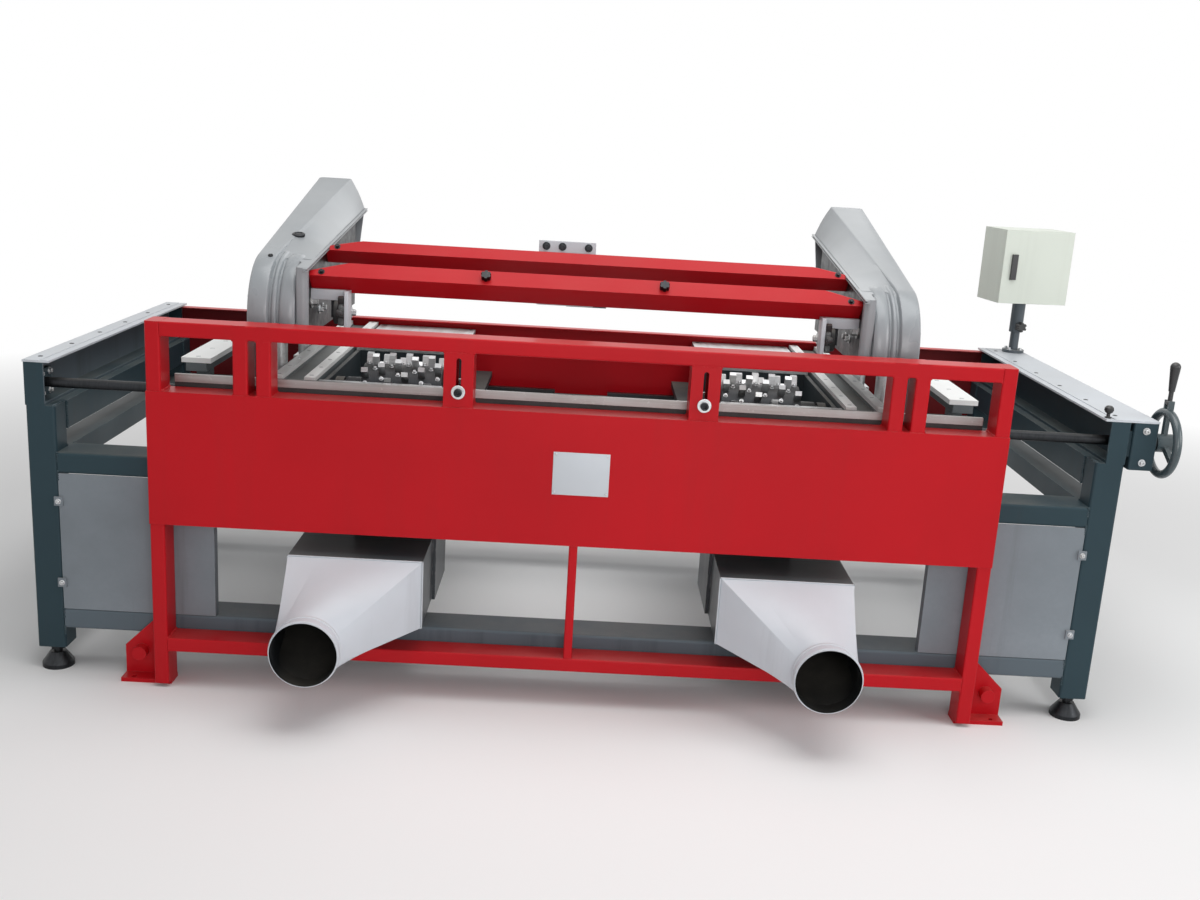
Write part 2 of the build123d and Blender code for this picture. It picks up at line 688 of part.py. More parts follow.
with BuildPart() as front_guard_frame:
    for top in guard_crossbars:
        bar_x(-GUARD_INNER, GUARD_INNER, GUARD_FRONT, GUARD_BACK, top - GUARD_TUBE, top, GUARD_CORNER)
    for centre, width, bottom, top in guard_uprights:
        left_edge = centre - width / 2
        bar_z(left_edge, left_edge + width, GUARD_FRONT, GUARD_BACK, bottom, top, GUARD_CORNER)
    # Slotted posts: wide tubes between the two upper bars, just behind their faces
    post_bottom = GUARD_PANEL_TOP - GUARD_TUBE / 2
    post_top = GUARD_TOP - GUARD_TUBE / 2
    for side in (LEFT, RIGHT):
        for wall, mode in ((0, Mode.ADD), (GUARD_WALL, Mode.SUBTRACT)):
            slab(
                side * SLOT_POST_X - SLOT_POST_WIDTH / 2 + wall,
                side * SLOT_POST_X + SLOT_POST_WIDTH / 2 - wall,
                GUARD_FRONT + SLOT_POST_SETBACK + wall,
                GUARD_BACK - SLOT_POST_SETBACK - wall,
                post_bottom,
                post_top,
                mode=mode,
            )
    for centre, width, bottom, top in guard_uprights:
        left_edge = centre - width / 2 + GUARD_WALL
        is_end_post = abs(centre) > GUARD_INNER
        hollow_bottom = bottom - 1 if is_end_post else bottom + GUARD_WALL
        slab(
            left_edge,
            left_edge + width - 2 * GUARD_WALL,
            GUARD_FRONT + GUARD_WALL,
            GUARD_BACK - GUARD_WALL,
            hollow_bottom,
            top - GUARD_WALL,
            mode=Mode.SUBTRACT,
        )
    for top in guard_crossbars:
        slab(
            -GUARD_HALF + 2 * GUARD_WALL,
            GUARD_HALF - 2 * GUARD_WALL,
            GUARD_FRONT + GUARD_WALL,
            GUARD_BACK - GUARD_WALL,
            top - GUARD_TUBE + GUARD_WALL,
            top - GUARD_WALL,
            mode=Mode.SUBTRACT,
        )
    # Panel sheet over the tubes
    slab(
        -GUARD_HALF,
        GUARD_HALF,
        GUARD_FRONT - GUARD_SHEET,
        GUARD_FRONT + GUARD_WALL,
        GUARD_PANEL_BOTTOM,
        GUARD_PANEL_TOP,
    )
    # Thin strut in the middle of the lower opening
    bar_z(
        -STRUT_WIDTH / 2,
        STRUT_WIDTH / 2,
        GUARD_FRONT,
        GUARD_FRONT + STRUT_DEPTH,
        GUARD_BOTTOM + GUARD_TUBE,
        GUARD_PANEL_BOTTOM,
        GUARD_CORNER,
    )
    # Slots for the stop bar's bolts
    slot_radius = STOP_BOLT_RADIUS + SLOT_GAP
    for side in (LEFT, RIGHT):
        for slot_end in (STOP_BOLT_Z, STOP_BOLT_Z + STOP_TRAVEL):
            rod_y(
                GUARD_FRONT - 1,
                GUARD_BACK + 1,
                side * SLOT_POST_X,
                slot_end,
                slot_radius,
                mode=Mode.SUBTRACT,
            )
        slab(
            side * SLOT_POST_X - slot_radius,
            side * SLOT_POST_X + slot_radius,
            GUARD_FRONT - 1,
            GUARD_BACK + 1,
            STOP_BOLT_Z,
            STOP_BOLT_Z + STOP_TRAVEL,
            mode=Mode.SUBTRACT,
        )
    # Foot brackets: floor plate, upright gusset and round boss
    foot_front = GUARD_BACK - GUARD_FOOT_DEPTH
    foot_inner = GUARD_HALF - GUARD_FOOT_INSET
    foot_outer = foot_inner + GUARD_FOOT_LENGTH
    anchor_y = foot_front + 2 * ANCHOR_RADIUS
    for side in (LEFT, RIGHT):
        slab(side * foot_inner, side * foot_outer, foot_front, GUARD_BACK, 0, GUARD_FOOT_PLATE)
        with BuildSketch(Plane.XZ.offset(-GUARD_BACK)) as bracket:
            with BuildLine():
                Polyline(
                    (side * GUARD_HALF, GUARD_FOOT_PLATE),
                    (side * GUARD_HALF, GUSSET_TOP),
                    (side * (GUARD_HALF + GUSSET_SHOULDER), GUSSET_TOP),
                    (side * foot_outer, GUSSET_NOSE),
                    (side * foot_outer, GUARD_FOOT_PLATE),
                    close=True,
                )
            make_face()
        extrude(bracket.sketch, amount=GUSSET_PLATE)
        rod_y(GUARD_BACK - FOOT_BOSS_LENGTH, GUARD_BACK, side * FOOT_BOSS_X, FOOT_BOSS_Z, FOOT_BOSS_RADIUS)
        rod_z(-1, GUARD_FOOT_PLATE + 1, side * ANCHOR_X, anchor_y, ANCHOR_RADIUS, mode=Mode.SUBTRACT)
        rod_z(
            -1,
            GUARD_FOOT_PLATE + 1,
            side * (GUARD_HALF - GUARD_TUBE / 2),
            GUARD_BACK - GUARD_FOOT_DEPTH / 2,
            DRAIN_RADIUS,
            mode=Mode.SUBTRACT,
        )
keep(front_guard_frame.part, "front_guard_frame")

# Stop bar, its sealing strip and its bolts
with BuildPart() as stop_bar:
    slab(-STOP_HALF, STOP_HALF, STOP_FRONT, STOP_BACK, STOP_BOTTOM, STOP_BOTTOM + STOP_HEIGHT)
    for side in (LEFT, RIGHT):
        tab_x = side * SLOT_POST_X
        slab(
            tab_x - STOP_TAB_WIDTH / 2,
            tab_x + STOP_TAB_WIDTH / 2,
            STOP_FRONT,
            STOP_BACK,
            STOP_BOTTOM,
            STOP_TAB_TOP,
        )
        rod_y(STOP_FRONT - 1, STOP_BACK + 1, tab_x, STOP_BOLT_Z, STOP_BOLT_RADIUS + RUN, mode=Mode.SUBTRACT)
keep(stop_bar.part, "stop_bar")

with BuildPart() as stop_bar_seal:
    slab(
        -STOP_HALF,
        STOP_HALF,
        STOP_FRONT,
        STOP_FRONT + SEAL_THICK,
        STOP_BOTTOM - SEAL_HEIGHT,
        STOP_BOTTOM,
    )
keep(stop_bar_seal.part, "stop_bar_seal")

with BuildPart() as stop_bar_bolts:
    washer_back = GUARD_FRONT - SLIDE
    washer_front = washer_back - STOP_WASHER
    head_front = washer_front - STOP_HEAD
    for side in (LEFT, RIGHT):
        bolt_x = side * SLOT_POST_X
        rod_y(washer_front, washer_back, bolt_x, STOP_BOLT_Z, STOP_WASHER_RADIUS)
        rod_y(head_front, washer_front, bolt_x, STOP_BOLT_Z, STOP_HEAD_RADIUS)
        rod_y(washer_back, STOP_BACK, bolt_x, STOP_BOLT_Z, STOP_BOLT_RADIUS)
        with BuildSketch(Plane.XZ.offset(-head_front - STOP_HEAD / 2)) as socket:
            with Locations((bolt_x, STOP_BOLT_Z)):
                RegularPolygon(HEX_SOCKET_RADIUS, 6)
        extrude(socket.sketch, amount=STOP_HEAD, mode=Mode.SUBTRACT)
keep(stop_bar_bolts.part, "stop_bar_bolts")

# Rear guard: a sheet on the rear rail with a folded top
with BuildPart() as rear_guard:
    with BuildSketch(Plane.YZ.offset(-BEAM_INNER)) as fold:
        with BuildLine():
            Polyline(
                (REAR, UPPER_RAIL_TOP - REAR_GUARD_LAP),
                (REAR + REAR_GUARD_SHEET, UPPER_RAIL_TOP - REAR_GUARD_LAP),
                (REAR + REAR_GUARD_SHEET, REAR_GUARD_TOP),
                (REAR + REAR_GUARD_SHEET - REAR_GUARD_FLANGE, REAR_GUARD_TOP),
                (REAR + REAR_GUARD_SHEET - REAR_GUARD_FLANGE, REAR_GUARD_TOP - REAR_GUARD_SHEET),
                (REAR, REAR_GUARD_TOP - REAR_GUARD_SHEET),
                close=True,
            )
        make_face()
    extrude(fold.sketch, amount=2 * BEAM_INNER)
keep(rear_guard.part, "rear_guard")


# Feed tracks: hollow beds on the upper rails, under the arms
def feed_track(side):
    with BuildPart() as track:
        inner = side * TRACK_INNER
        outer = side * TRACK_OUTER
        slab(inner, outer, TRACK_FRONT, TRACK_REAR, UPPER_RAIL_TOP, TRACK_TOP)
        slab(
            inner + side * TRACK_WALL,
            outer - side * TRACK_WALL,
            TRACK_FRONT - 1,
            TRACK_REAR + 1,
            UPPER_RAIL_TOP + TRACK_WALL,
            TRACK_TOP - TRACK_WALL - TRACK_GROOVE_DEPTH,
            mode=Mode.SUBTRACT,
        )
        middle = (inner + outer) / 2
        slab(
            middle - TRACK_GROOVE / 2,
            middle + TRACK_GROOVE / 2,
            TRACK_FRONT - 1,
            TRACK_REAR + 1,
            TRACK_TOP - TRACK_GROOVE_DEPTH,
            TRACK_TOP + 1,
            mode=Mode.SUBTRACT,
        )
        slab(
            inner,
            outer,
            FRONT + RAIL_CORNER,
            TRACK_FRONT,
            UPPER_RAIL_TOP,
            UPPER_RAIL_TOP + TRACK_FOOT_PLATE,
        )
    return track.part


keep(feed_track(LEFT), "feed_track_left")
keep(feed_track(RIGHT), "feed_track_right")

# Wear strips: two on each track, one on each outer support
with BuildPart() as wear_strips:
    for side in (LEFT, RIGHT):
        for strip_inner in (TRACK_INNER, TRACK_OUTER - STRIP_WIDTH):
            slab(
                side * strip_inner,
                side * (strip_inner + STRIP_WIDTH),
                TRACK_FRONT,
                TRACK_REAR,
                TRACK_TOP,
                WEAR_TOP,
            )
        slab(
            side * OUTER_X - OUTER_STRIP_WIDTH / 2,
            side * OUTER_X + OUTER_STRIP_WIDTH / 2,
            OUTER_FRONT,
            TRACK_REAR,
            OUTER_STRIP_BOTTOM,
            OUTER_STRIP_BOTTOM + OUTER_STRIP,
        )
keep(wear_strips.part, "wear_strips")

# Outer supports: a tube on the rails, two uprights and a channel under the strip
with BuildPart() as outer_supports:
    channel_bottom = OUTER_STRIP_BOTTOM - OUTER_CHANNEL
    for side in (LEFT, RIGHT):
        tube_left = side * OUTER_X - OUTER_TUBE / 2
        tube_right = tube_left + OUTER_TUBE
        tube_top = UPPER_RAIL_TOP + OUTER_TUBE
        slab(tube_left, tube_right, FRONT + RAIL_CORNER, REAR - RAIL_CORNER, UPPER_RAIL_TOP, tube_top)
        for upright_y in (OUTER_UPRIGHT_FRONT, OUTER_UPRIGHT_REAR):
            slab(
                tube_left,
                tube_right,
                upright_y - OUTER_TUBE / 2,
                upright_y + OUTER_TUBE / 2,
                tube_top,
                channel_bottom,
            )
        slab(
            side * OUTER_X - OUTER_CHANNEL_WIDTH / 2,
            side * OUTER_X + OUTER_CHANNEL_WIDTH / 2,
            OUTER_FRONT,
            TRACK_REAR,
            channel_bottom,
            OUTER_STRIP_BOTTOM,
        )
keep(outer_supports.part, "outer_supports")

# Press columns: bracket on the feed track, column and stop collar
with BuildPart() as press_columns:
    for side in (LEFT, RIGHT):
        for column_y in (COLUMN_FRONT, COLUMN_REAR):
            rod_z(COLUMN_BLOCK_BOTTOM, COLUMN_TOP, side * COLUMN_X, column_y, COLUMN_RADIUS)
            slab(
                side * TRACK_OUTER,
                side * (COLUMN_X + COLLAR_RADIUS),
                column_y - COLUMN_BLOCK_DEPTH / 2,
                column_y + COLUMN_BLOCK_DEPTH / 2,
                COLUMN_BLOCK_BOTTOM,
                COLUMN_BLOCK_BOTTOM + COLUMN_BLOCK_HEIGHT,
            )
            rod_z(
                SLEEVE_BOTTOM - SLIDE - COLLAR_HEIGHT,
                SLEEVE_BOTTOM - SLIDE,
                side * COLUMN_X,
                column_y,
                COLLAR_RADIUS,
            )
keep(press_columns.part, "press_columns")

# Bearings of the adjusting screw
with BuildPart() as screw_bearings:
    left_face = -HALF_LENGTH + BEAM_WEB
    slab(
        left_face,
        left_face + LEFT_BEARING_LENGTH,
        SCREW_Y - LEFT_BEARING_HALF,
        SCREW_Y + LEFT_BEARING_HALF,
        SCREW_Z - LEFT_BEARING_HALF,
        SCREW_Z + LEFT_BEARING_HALF,
    )
    slab(
        HALF_LENGTH,
        HALF_LENGTH + RIGHT_BEARING_NECK,
        SCREW_Y - NECK_HALF,
        SCREW_Y + NECK_HALF,
        SCREW_Z - NECK_HALF,
        SCREW_Z + NECK_HALF,
    )
    bar_z(
        HALF_LENGTH + RIGHT_BEARING_NECK,
        RIGHT_BEARING_END,
        SCREW_Y - RIGHT_BEARING_DEPTH / 2,
        SCREW_Y + RIGHT_BEARING_DEPTH / 2,
        BEAM_TOP - RIGHT_BEARING_HEIGHT,
        BEAM_TOP,
        GUARD_CORNER,
    )
    rod_x(
        -HALF_LENGTH,
        RIGHT_BEARING_END + 1,
        SCREW_Y,
        SCREW_Z,
        SCREW_RADIUS + RUN,
        mode=Mode.SUBTRACT,
    )
keep(screw_bearings.part, "screw_bearings")

# Slide rails for the carriages, on the upper rails
with BuildPart() as slide_rails:
    for side in (LEFT, RIGHT):
        for rail_y in (-SLIDE_RAIL_Y, SLIDE_RAIL_Y):
            slab(
                side * SLIDE_RAIL_INNER,
                side * CARRIAGE_OUTER,
                rail_y - SLIDE_RAIL_WIDTH / 2,
                rail_y + SLIDE_RAIL_WIDTH / 2,
                UPPER_RAIL_TOP,
                UPPER_RAIL_TOP + SLIDE_RAIL_HEIGHT,
            )
keep(slide_rails.part, "slide_rails")

# Adjusting screw with its thrust collar
with BuildPart(SCREW_PLANE) as lead_screw:
    screw_left = -HALF_LENGTH + BEAM_WEB + SCREW_END_GAP
    screw_right = WHEEL_X + WHEEL_HUB_LENGTH / 2
    with Locations((0, 0, (screw_left + screw_right) / 2)):
        Cylinder(SCREW_RADIUS, screw_right - screw_left)
    with Locations((0, 0, COLLAR_INNER_FACE + SHAFT_COLLAR / 2)):
        Cylinder(SHAFT_COLLAR_RADIUS, SHAFT_COLLAR)
keep(lead_screw.part, "lead_screw")

# Handwheel: rim, hub, spokes and the two ears that hold the grip's pin
GRIP_PIN_Y = WHEEL_RADIUS + GRIP_PIN_LIFT
with BuildPart(WHEEL_PLANE) as handwheel:
    Torus(WHEEL_RADIUS, WHEEL_RIM_RADIUS)
    for ear_side in (-1, 1):
        ear_middle = ear_side * (EAR_GAP + EAR_THICK) / 2
        slab(
            ear_middle - EAR_THICK / 2,
            ear_middle + EAR_THICK / 2,
            WHEEL_RADIUS + WHEEL_RIM_RADIUS / 3,
            GRIP_PIN_Y + EAR_HALF,
            -EAR_HALF,
            EAR_HALF,
        )
    Cylinder(WHEEL_HUB_RADIUS, WHEEL_HUB_LENGTH)
    spoke_middle = (WHEEL_HUB_RADIUS + WHEEL_RADIUS) / 2
    with PolarLocations(spoke_middle, WHEEL_SPOKES, start_angle=90):
        Box(WHEEL_RADIUS - WHEEL_HUB_RADIUS + WHEEL_RIM_RADIUS, WHEEL_SPOKE_WIDTH, WHEEL_SPOKE_THICK)
    with Locations(Location((0, GRIP_PIN_Y, 0), (0, 90, 0))):
        Cylinder(GRIP_PIN_RADIUS, EAR_GAP + EAR_THICK)
    Cylinder(SCREW_RADIUS + RUN, 2 * WHEEL_HUB_LENGTH, mode=Mode.SUBTRACT)
keep(handwheel.part, "handwheel")

# Folding grip: an eye on the pin, a stem and a flared handle
with BuildPart(WHEEL_PLANE) as handwheel_grip:
    with Locations(Location((0, GRIP_PIN_Y, 0), (0, 90, 0))):
        Cylinder(GRIP_EYE_RADIUS, EAR_GAP - 2 * SLIDE)
    stem_top = GRIP_PIN_Y + EAR_HALF + GRIP_STEM
    grip_top = stem_top + GRIP_LENGTH
    with BuildSketch(Plane(origin=WHEEL_PLANE.origin, x_dir=(1, 0, 0), z_dir=(0, -1, 0))) as grip_profile:
        with BuildLine():
            Polyline(
                (0, GRIP_PIN_Y),
                (GRIP_STEM_RADIUS, GRIP_PIN_Y),
                (GRIP_STEM_RADIUS, stem_top),
                (GRIP_THIN, stem_top),
                (GRIP_FLARE, grip_top - GRIP_FLARE),
            )
            RadiusArc((GRIP_FLARE, grip_top - GRIP_FLARE), (0, grip_top), -GRIP_FLARE)
            Line((0, grip_top), (0, GRIP_PIN_Y))
        make_face()
    revolve(grip_profile.sketch, axis=Axis(WHEEL_PLANE.origin, (0, 0, 1)))
    with Locations(Location((0, GRIP_PIN_Y, 0), (0, 90, 0))):
        Cylinder(GRIP_PIN_RADIUS + RUN, 2 * EAR_GAP, mode=Mode.SUBTRACT)
keep(handwheel_grip.part, "handwheel_grip")


# Belt outline round two pulleys, as a face across the belt's plane
def belt_outline(x, centres, radii, growth):
    with BuildSketch(Plane.YZ.offset(x)) as outline:
        for centre, radius in zip(centres, radii):
            with Locations(centre):
                Circle(radius + growth)
        make_hull()
    return outline.sketch


# Carriages: base plate on slide blocks, walls that carry the table, screw nut
def carriage(side):
    inner = side * CARRIAGE_INNER
    outer = side * CARRIAGE_OUTER
    with BuildPart() as base:
        slab(inner, outer, -CARRIAGE_HALF_DEPTH, CARRIAGE_HALF_DEPTH, PLATE_BOTTOM, PLATE_TOP)
        # Chip opening under the cutter
        slab(
            side * (CUTTER_INNER - CUT_SIDE_CLEAR),
            side * (CUTTER_OUTER + CUT_SIDE_CLEAR),
            CUT_FRONT,
            CUT_REAR,
            PLATE_BOTTOM - 1,
            PLATE_TOP + 1,
            mode=Mode.SUBTRACT,
        )
        # Slot that the drive belt runs through
        belt_share = (PLATE_BOTTOM - MOTOR_Z) / (CUTTER_Z - MOTOR_Z)
        belt_y = MOTOR_Y + belt_share * (CUTTER_Y - MOTOR_Y)
        belt_tilt = math.atan2(CUTTER_Z - MOTOR_Z, MOTOR_Y - CUTTER_Y)
        belt_half = (MOTOR_PULLEY_RADIUS + BELT_THICK) / math.sin(belt_tilt) + BELT_SLOT_MARGIN
        slab(
            side * (PULLEY_START - PULLEY_GAP),
            side * (PULLEY_END + PULLEY_GAP),
            belt_y - belt_half,
            belt_y + belt_half,
            PLATE_BOTTOM - 1,
            PLATE_TOP + 1,
            mode=Mode.SUBTRACT,
        )
        # Slide blocks that straddle the slide rails
        for rail_y in (-SLIDE_RAIL_Y, SLIDE_RAIL_Y):
            for block_start in (CARRIAGE_INNER + BLOCK_INSET, CARRIAGE_OUTER - BLOCK_INSET - BLOCK_LENGTH):
                slab(
                    side * block_start,
                    side * (block_start + BLOCK_LENGTH),
                    rail_y - BLOCK_WIDTH / 2,
                    rail_y + BLOCK_WIDTH / 2,
                    UPPER_RAIL_TOP + BLOCK_FLOOR_GAP,
                    PLATE_BOTTOM,
                )
            slab(
                inner,
                outer,
                rail_y - SLIDE_RAIL_WIDTH / 2 - SLIDE,
                rail_y + SLIDE_RAIL_WIDTH / 2 + SLIDE,
                UPPER_RAIL_TOP,
                UPPER_RAIL_TOP + SLIDE_RAIL_HEIGHT + SLIDE,
                mode=Mode.SUBTRACT,
            )
        # Walls under the tables: outer side, inner side, and one under each table's edge
        wall_front = CUT_FRONT - 2 * WALL_PLATE
        slab(
            outer,
            outer - side * WALL_PLATE,
            wall_front,
            TABLE_REAR - WALL_PLATE,
            PLATE_TOP,
            TABLE_BOTTOM,
        )
        slab(
            side * TABLE_INNER,
            side * (TABLE_INNER + WALL_PLATE),
            REAR_TABLE_FRONT,
            TABLE_REAR - WALL_PLATE,
            PLATE_TOP,
            TABLE_BOTTOM,
        )
        for wall_y in (wall_front, REAR_TABLE_FRONT):
            slab(side * TABLE_INNER, outer, wall_y, wall_y + WALL_PLATE, PLATE_TOP, TABLE_BOTTOM)
        # Nut block on the screw
        slab(
            side * NUT_X - NUT_LENGTH / 2,
            side * NUT_X + NUT_LENGTH / 2,
            SCREW_Y - NUT_HALF,
            SCREW_Y + NUT_HALF,
            PLATE_TOP,
            SCREW_Z + NUT_HALF - SLIDE,
        )
        rod_x(
            inner,
            outer,
            SCREW_Y,
            SCREW_Z,
            SCREW_RADIUS + RUN,
            mode=Mode.SUBTRACT,
        )
    return base.part


# Tables: a narrow plate in front of the cutter and a deep one behind its pocket
def table(side):
    with BuildPart() as top:
        bar_z(
            side * TABLE_INNER,
            side * CARRIAGE_OUTER,
            TABLE_FRONT,
            TABLE_REAR,
            TABLE_BOTTOM,
            TABLE_TOP,
            TABLE_CORNER,
        )
        slab(
            side * (TABLE_INNER - 1),
            side * (CARRIAGE_OUTER + 1),
            CUT_FRONT,
            REAR_TABLE_FRONT,
            TABLE_BOTTOM - 1,
            TABLE_TOP + 1,
            mode=Mode.SUBTRACT,
        )
    return top.part


# Pillow blocks at both ends of the cutter's arbor
def cutter_bearings(side):
    with BuildPart() as bearings:
        for start, end in (
            (INNER_BEARING_START, INNER_BEARING_END),
            (OUTER_BEARING_START, OUTER_BEARING_END),
        ):
            slab(
                side * start,
                side * end,
                CUTTER_Y - BEARING_HALF_DEPTH,
                CUTTER_Y + BEARING_HALF_DEPTH,
                PLATE_TOP,
                CUTTER_Z,
            )
            rod_x(side * start, side * end, CUTTER_Y, CUTTER_Z, BEARING_CAP)
            rod_x(
                side * (start - 1),
                side * (end + 1),
                CUTTER_Y,
                CUTTER_Z,
                ARBOR_RADIUS + RUN,
                mode=Mode.SUBTRACT,
            )
    return bearings.part


# Grooves turned into a pulley's rim
def pulley_grooves(side, radius):
    pitch = PULLEY_WIDTH / (PULLEY_GROOVES + 1)
    for groove in range(1, PULLEY_GROOVES + 1):
        with Locations((0, 0, side * (PULLEY_START + groove * pitch))):
            Torus(radius, GROOVE_DEPTH, mode=Mode.SUBTRACT)


# Places of the knives in one column: angle step by step round the drum
def knife_column(column):
    pitch = CUTTER_WIDTH / KNIFE_COLUMNS
    return CUTTER_INNER + (column + 0.5) * pitch, column * KNIFE_STAGGER


KNIFE_LENGTH = CUTTER_WIDTH / KNIFE_COLUMNS - KNIFE_SIDE_GAP


# Cutter heads: arbor, drum with knife pockets and driven pulley
def cutter_head(side):
    arbor_start = INNER_BEARING_START - PULLEY_GAP
    with BuildPart(CUTTER_PLANE) as head:
        with Locations((0, 0, side * (arbor_start + PULLEY_END) / 2)):
            Cylinder(ARBOR_RADIUS, PULLEY_END - arbor_start)
        with Locations((0, 0, side * (CUTTER_INNER + CUTTER_OUTER) / 2)):
            Cylinder(DRUM_RADIUS, CUTTER_WIDTH)
        with Locations((0, 0, side * (PULLEY_START + PULLEY_END) / 2)):
            Cylinder(CUTTER_PULLEY_RADIUS, PULLEY_WIDTH)
        pulley_grooves(side, CUTTER_PULLEY_RADIUS)
        for column in range(KNIFE_COLUMNS):
            column_x, column_angle = knife_column(column)
            with Locations((0, 0, side * column_x)):
                with PolarLocations((KNIFE_ROOT + CUTTER_RADIUS) / 2, KNIVES_ROUND, start_angle=column_angle):
                    Box(CUTTER_RADIUS - KNIFE_ROOT, KNIFE_THICK, KNIFE_LENGTH, mode=Mode.SUBTRACT)
    return head.part


# Knives in their pockets, with a relieved cutting edge
def cutter_knives(side):
    with BuildSketch() as knife_shape:
        with BuildLine():
            Polyline(
                (KNIFE_ROOT, -KNIFE_THICK / 2),
                (CUTTER_RADIUS, -KNIFE_THICK / 2),
                (CUTTER_RADIUS - KNIFE_THICK / 2, KNIFE_THICK / 2),
                (KNIFE_ROOT, KNIFE_THICK / 2),
                close=True,
            )
        make_face()
    with BuildPart() as one_knife:
        extrude(knife_shape.sketch, amount=KNIFE_LENGTH / 2, both=True)
    with BuildPart(CUTTER_PLANE) as knives:
        for column in range(KNIFE_COLUMNS):
            column_x, column_angle = knife_column(column)
            with Locations((0, 0, side * column_x)):
                with PolarLocations(0, KNIVES_ROUND, start_angle=column_angle):
                    add(one_knife.part)
    return knives.part


# Motors under the carriages: finned body, foot and shaft bore
def cutter_motor(side):
    with BuildPart(MOTOR_PLANE) as motor:
        with Locations((0, 0, side * (MOTOR_START + MOTOR_END) / 2)):
            Cylinder(MOTOR_RADIUS - MOTOR_FIN_HEIGHT, MOTOR_LENGTH)
            fin_middle = MOTOR_RADIUS - MOTOR_FIN_HEIGHT
            with PolarLocations(fin_middle, MOTOR_FINS):
                Box(2 * MOTOR_FIN_HEIGHT, MOTOR_FIN_THICK, MOTOR_LENGTH * 0.7)
        with Locations((0, (PLATE_BOTTOM - MOTOR_Z) / 2, side * (MOTOR_START + MOTOR_END) / 2)):
            Box(MOTOR_FOOT_WIDTH, PLATE_BOTTOM - MOTOR_Z, MOTOR_FOOT_LENGTH)
        with Locations((0, 0, side * (MOTOR_END - MOTOR_BORE_DEPTH / 2))):
            Cylinder(MOTOR_SHAFT_RADIUS + RUN, MOTOR_BORE_DEPTH, mode=Mode.SUBTRACT)
    return motor.part


# Motor shafts with their pulleys
def motor_pulley(side):
    shaft_start = MOTOR_END - MOTOR_BORE_DEPTH + SLIDE
    with BuildPart(MOTOR_PLANE) as pulley:
        with Locations((0, 0, side * (shaft_start + PULLEY_END) / 2)):
            Cylinder(MOTOR_SHAFT_RADIUS, PULLEY_END - shaft_start)
        with Locations((0, 0, side * (PULLEY_START + PULLEY_END) / 2)):
            Cylinder(MOTOR_PULLEY_RADIUS, PULLEY_WIDTH)
        pulley_grooves(side, MOTOR_PULLEY_RADIUS)
    return pulley.part


# Drive belts round both pulleys
def drive_belt(side):
    centres = ((MOTOR_Y, MOTOR_Z), (CUTTER_Y, CUTTER_Z))
    radii = (MOTOR_PULLEY_RADIUS, CUTTER_PULLEY_RADIUS)
    belt_start = (PULLEY_START + PULLEY_END - BELT_WIDTH) / 2
    left_face = min(side * belt_start, side * (belt_start + BELT_WIDTH))
    with BuildPart() as belt:
        extrude(belt_outline(left_face, centres, radii, BELT_GAP + BELT_THICK), amount=BELT_WIDTH)
        extrude(belt_outline(left_face, centres, radii, BELT_GAP), amount=BELT_WIDTH, mode=Mode.SUBTRACT)
    return belt.part


# A rectangle at the duct's front end, on a plane across Y
def duct_section(side, inset):
    with BuildSketch(Plane.XZ.offset(-DUCT_FRONT)) as section:
        with Locations((side * (DUCT_INNER + DUCT_OUTER) / 2, (DUCT_BOTTOM + DUCT_TOP) / 2)):
            Rectangle(DUCT_OUTER - DUCT_INNER - 2 * inset, DUCT_TOP - DUCT_BOTTOM - 2 * inset)
    return section.sketch


# The collar's circle, drawn as four arcs that start towards the duct's corners
def collar_section(side, radius):
    quarter = radius / math.sqrt(2)
    centre_x = side * COLLAR_X
    with BuildSketch(Plane.XZ.offset(-COLLAR_START)) as section:
        with BuildLine():
            corners = (
                (centre_x - quarter, COLLAR_Z - quarter),
                (centre_x + quarter, COLLAR_Z - quarter),
                (centre_x + quarter, COLLAR_Z + quarter),
                (centre_x - quarter, COLLAR_Z + quarter),
            )
            middles = (
                (centre_x, COLLAR_Z - radius),
                (centre_x + radius, COLLAR_Z),
                (centre_x, COLLAR_Z + radius),
                (centre_x - radius, COLLAR_Z),
            )
            for index in range(4):
                ThreePointArc(corners[index], middles[index], corners[(index + 1) % 4])
        make_face()
    return section.sketch


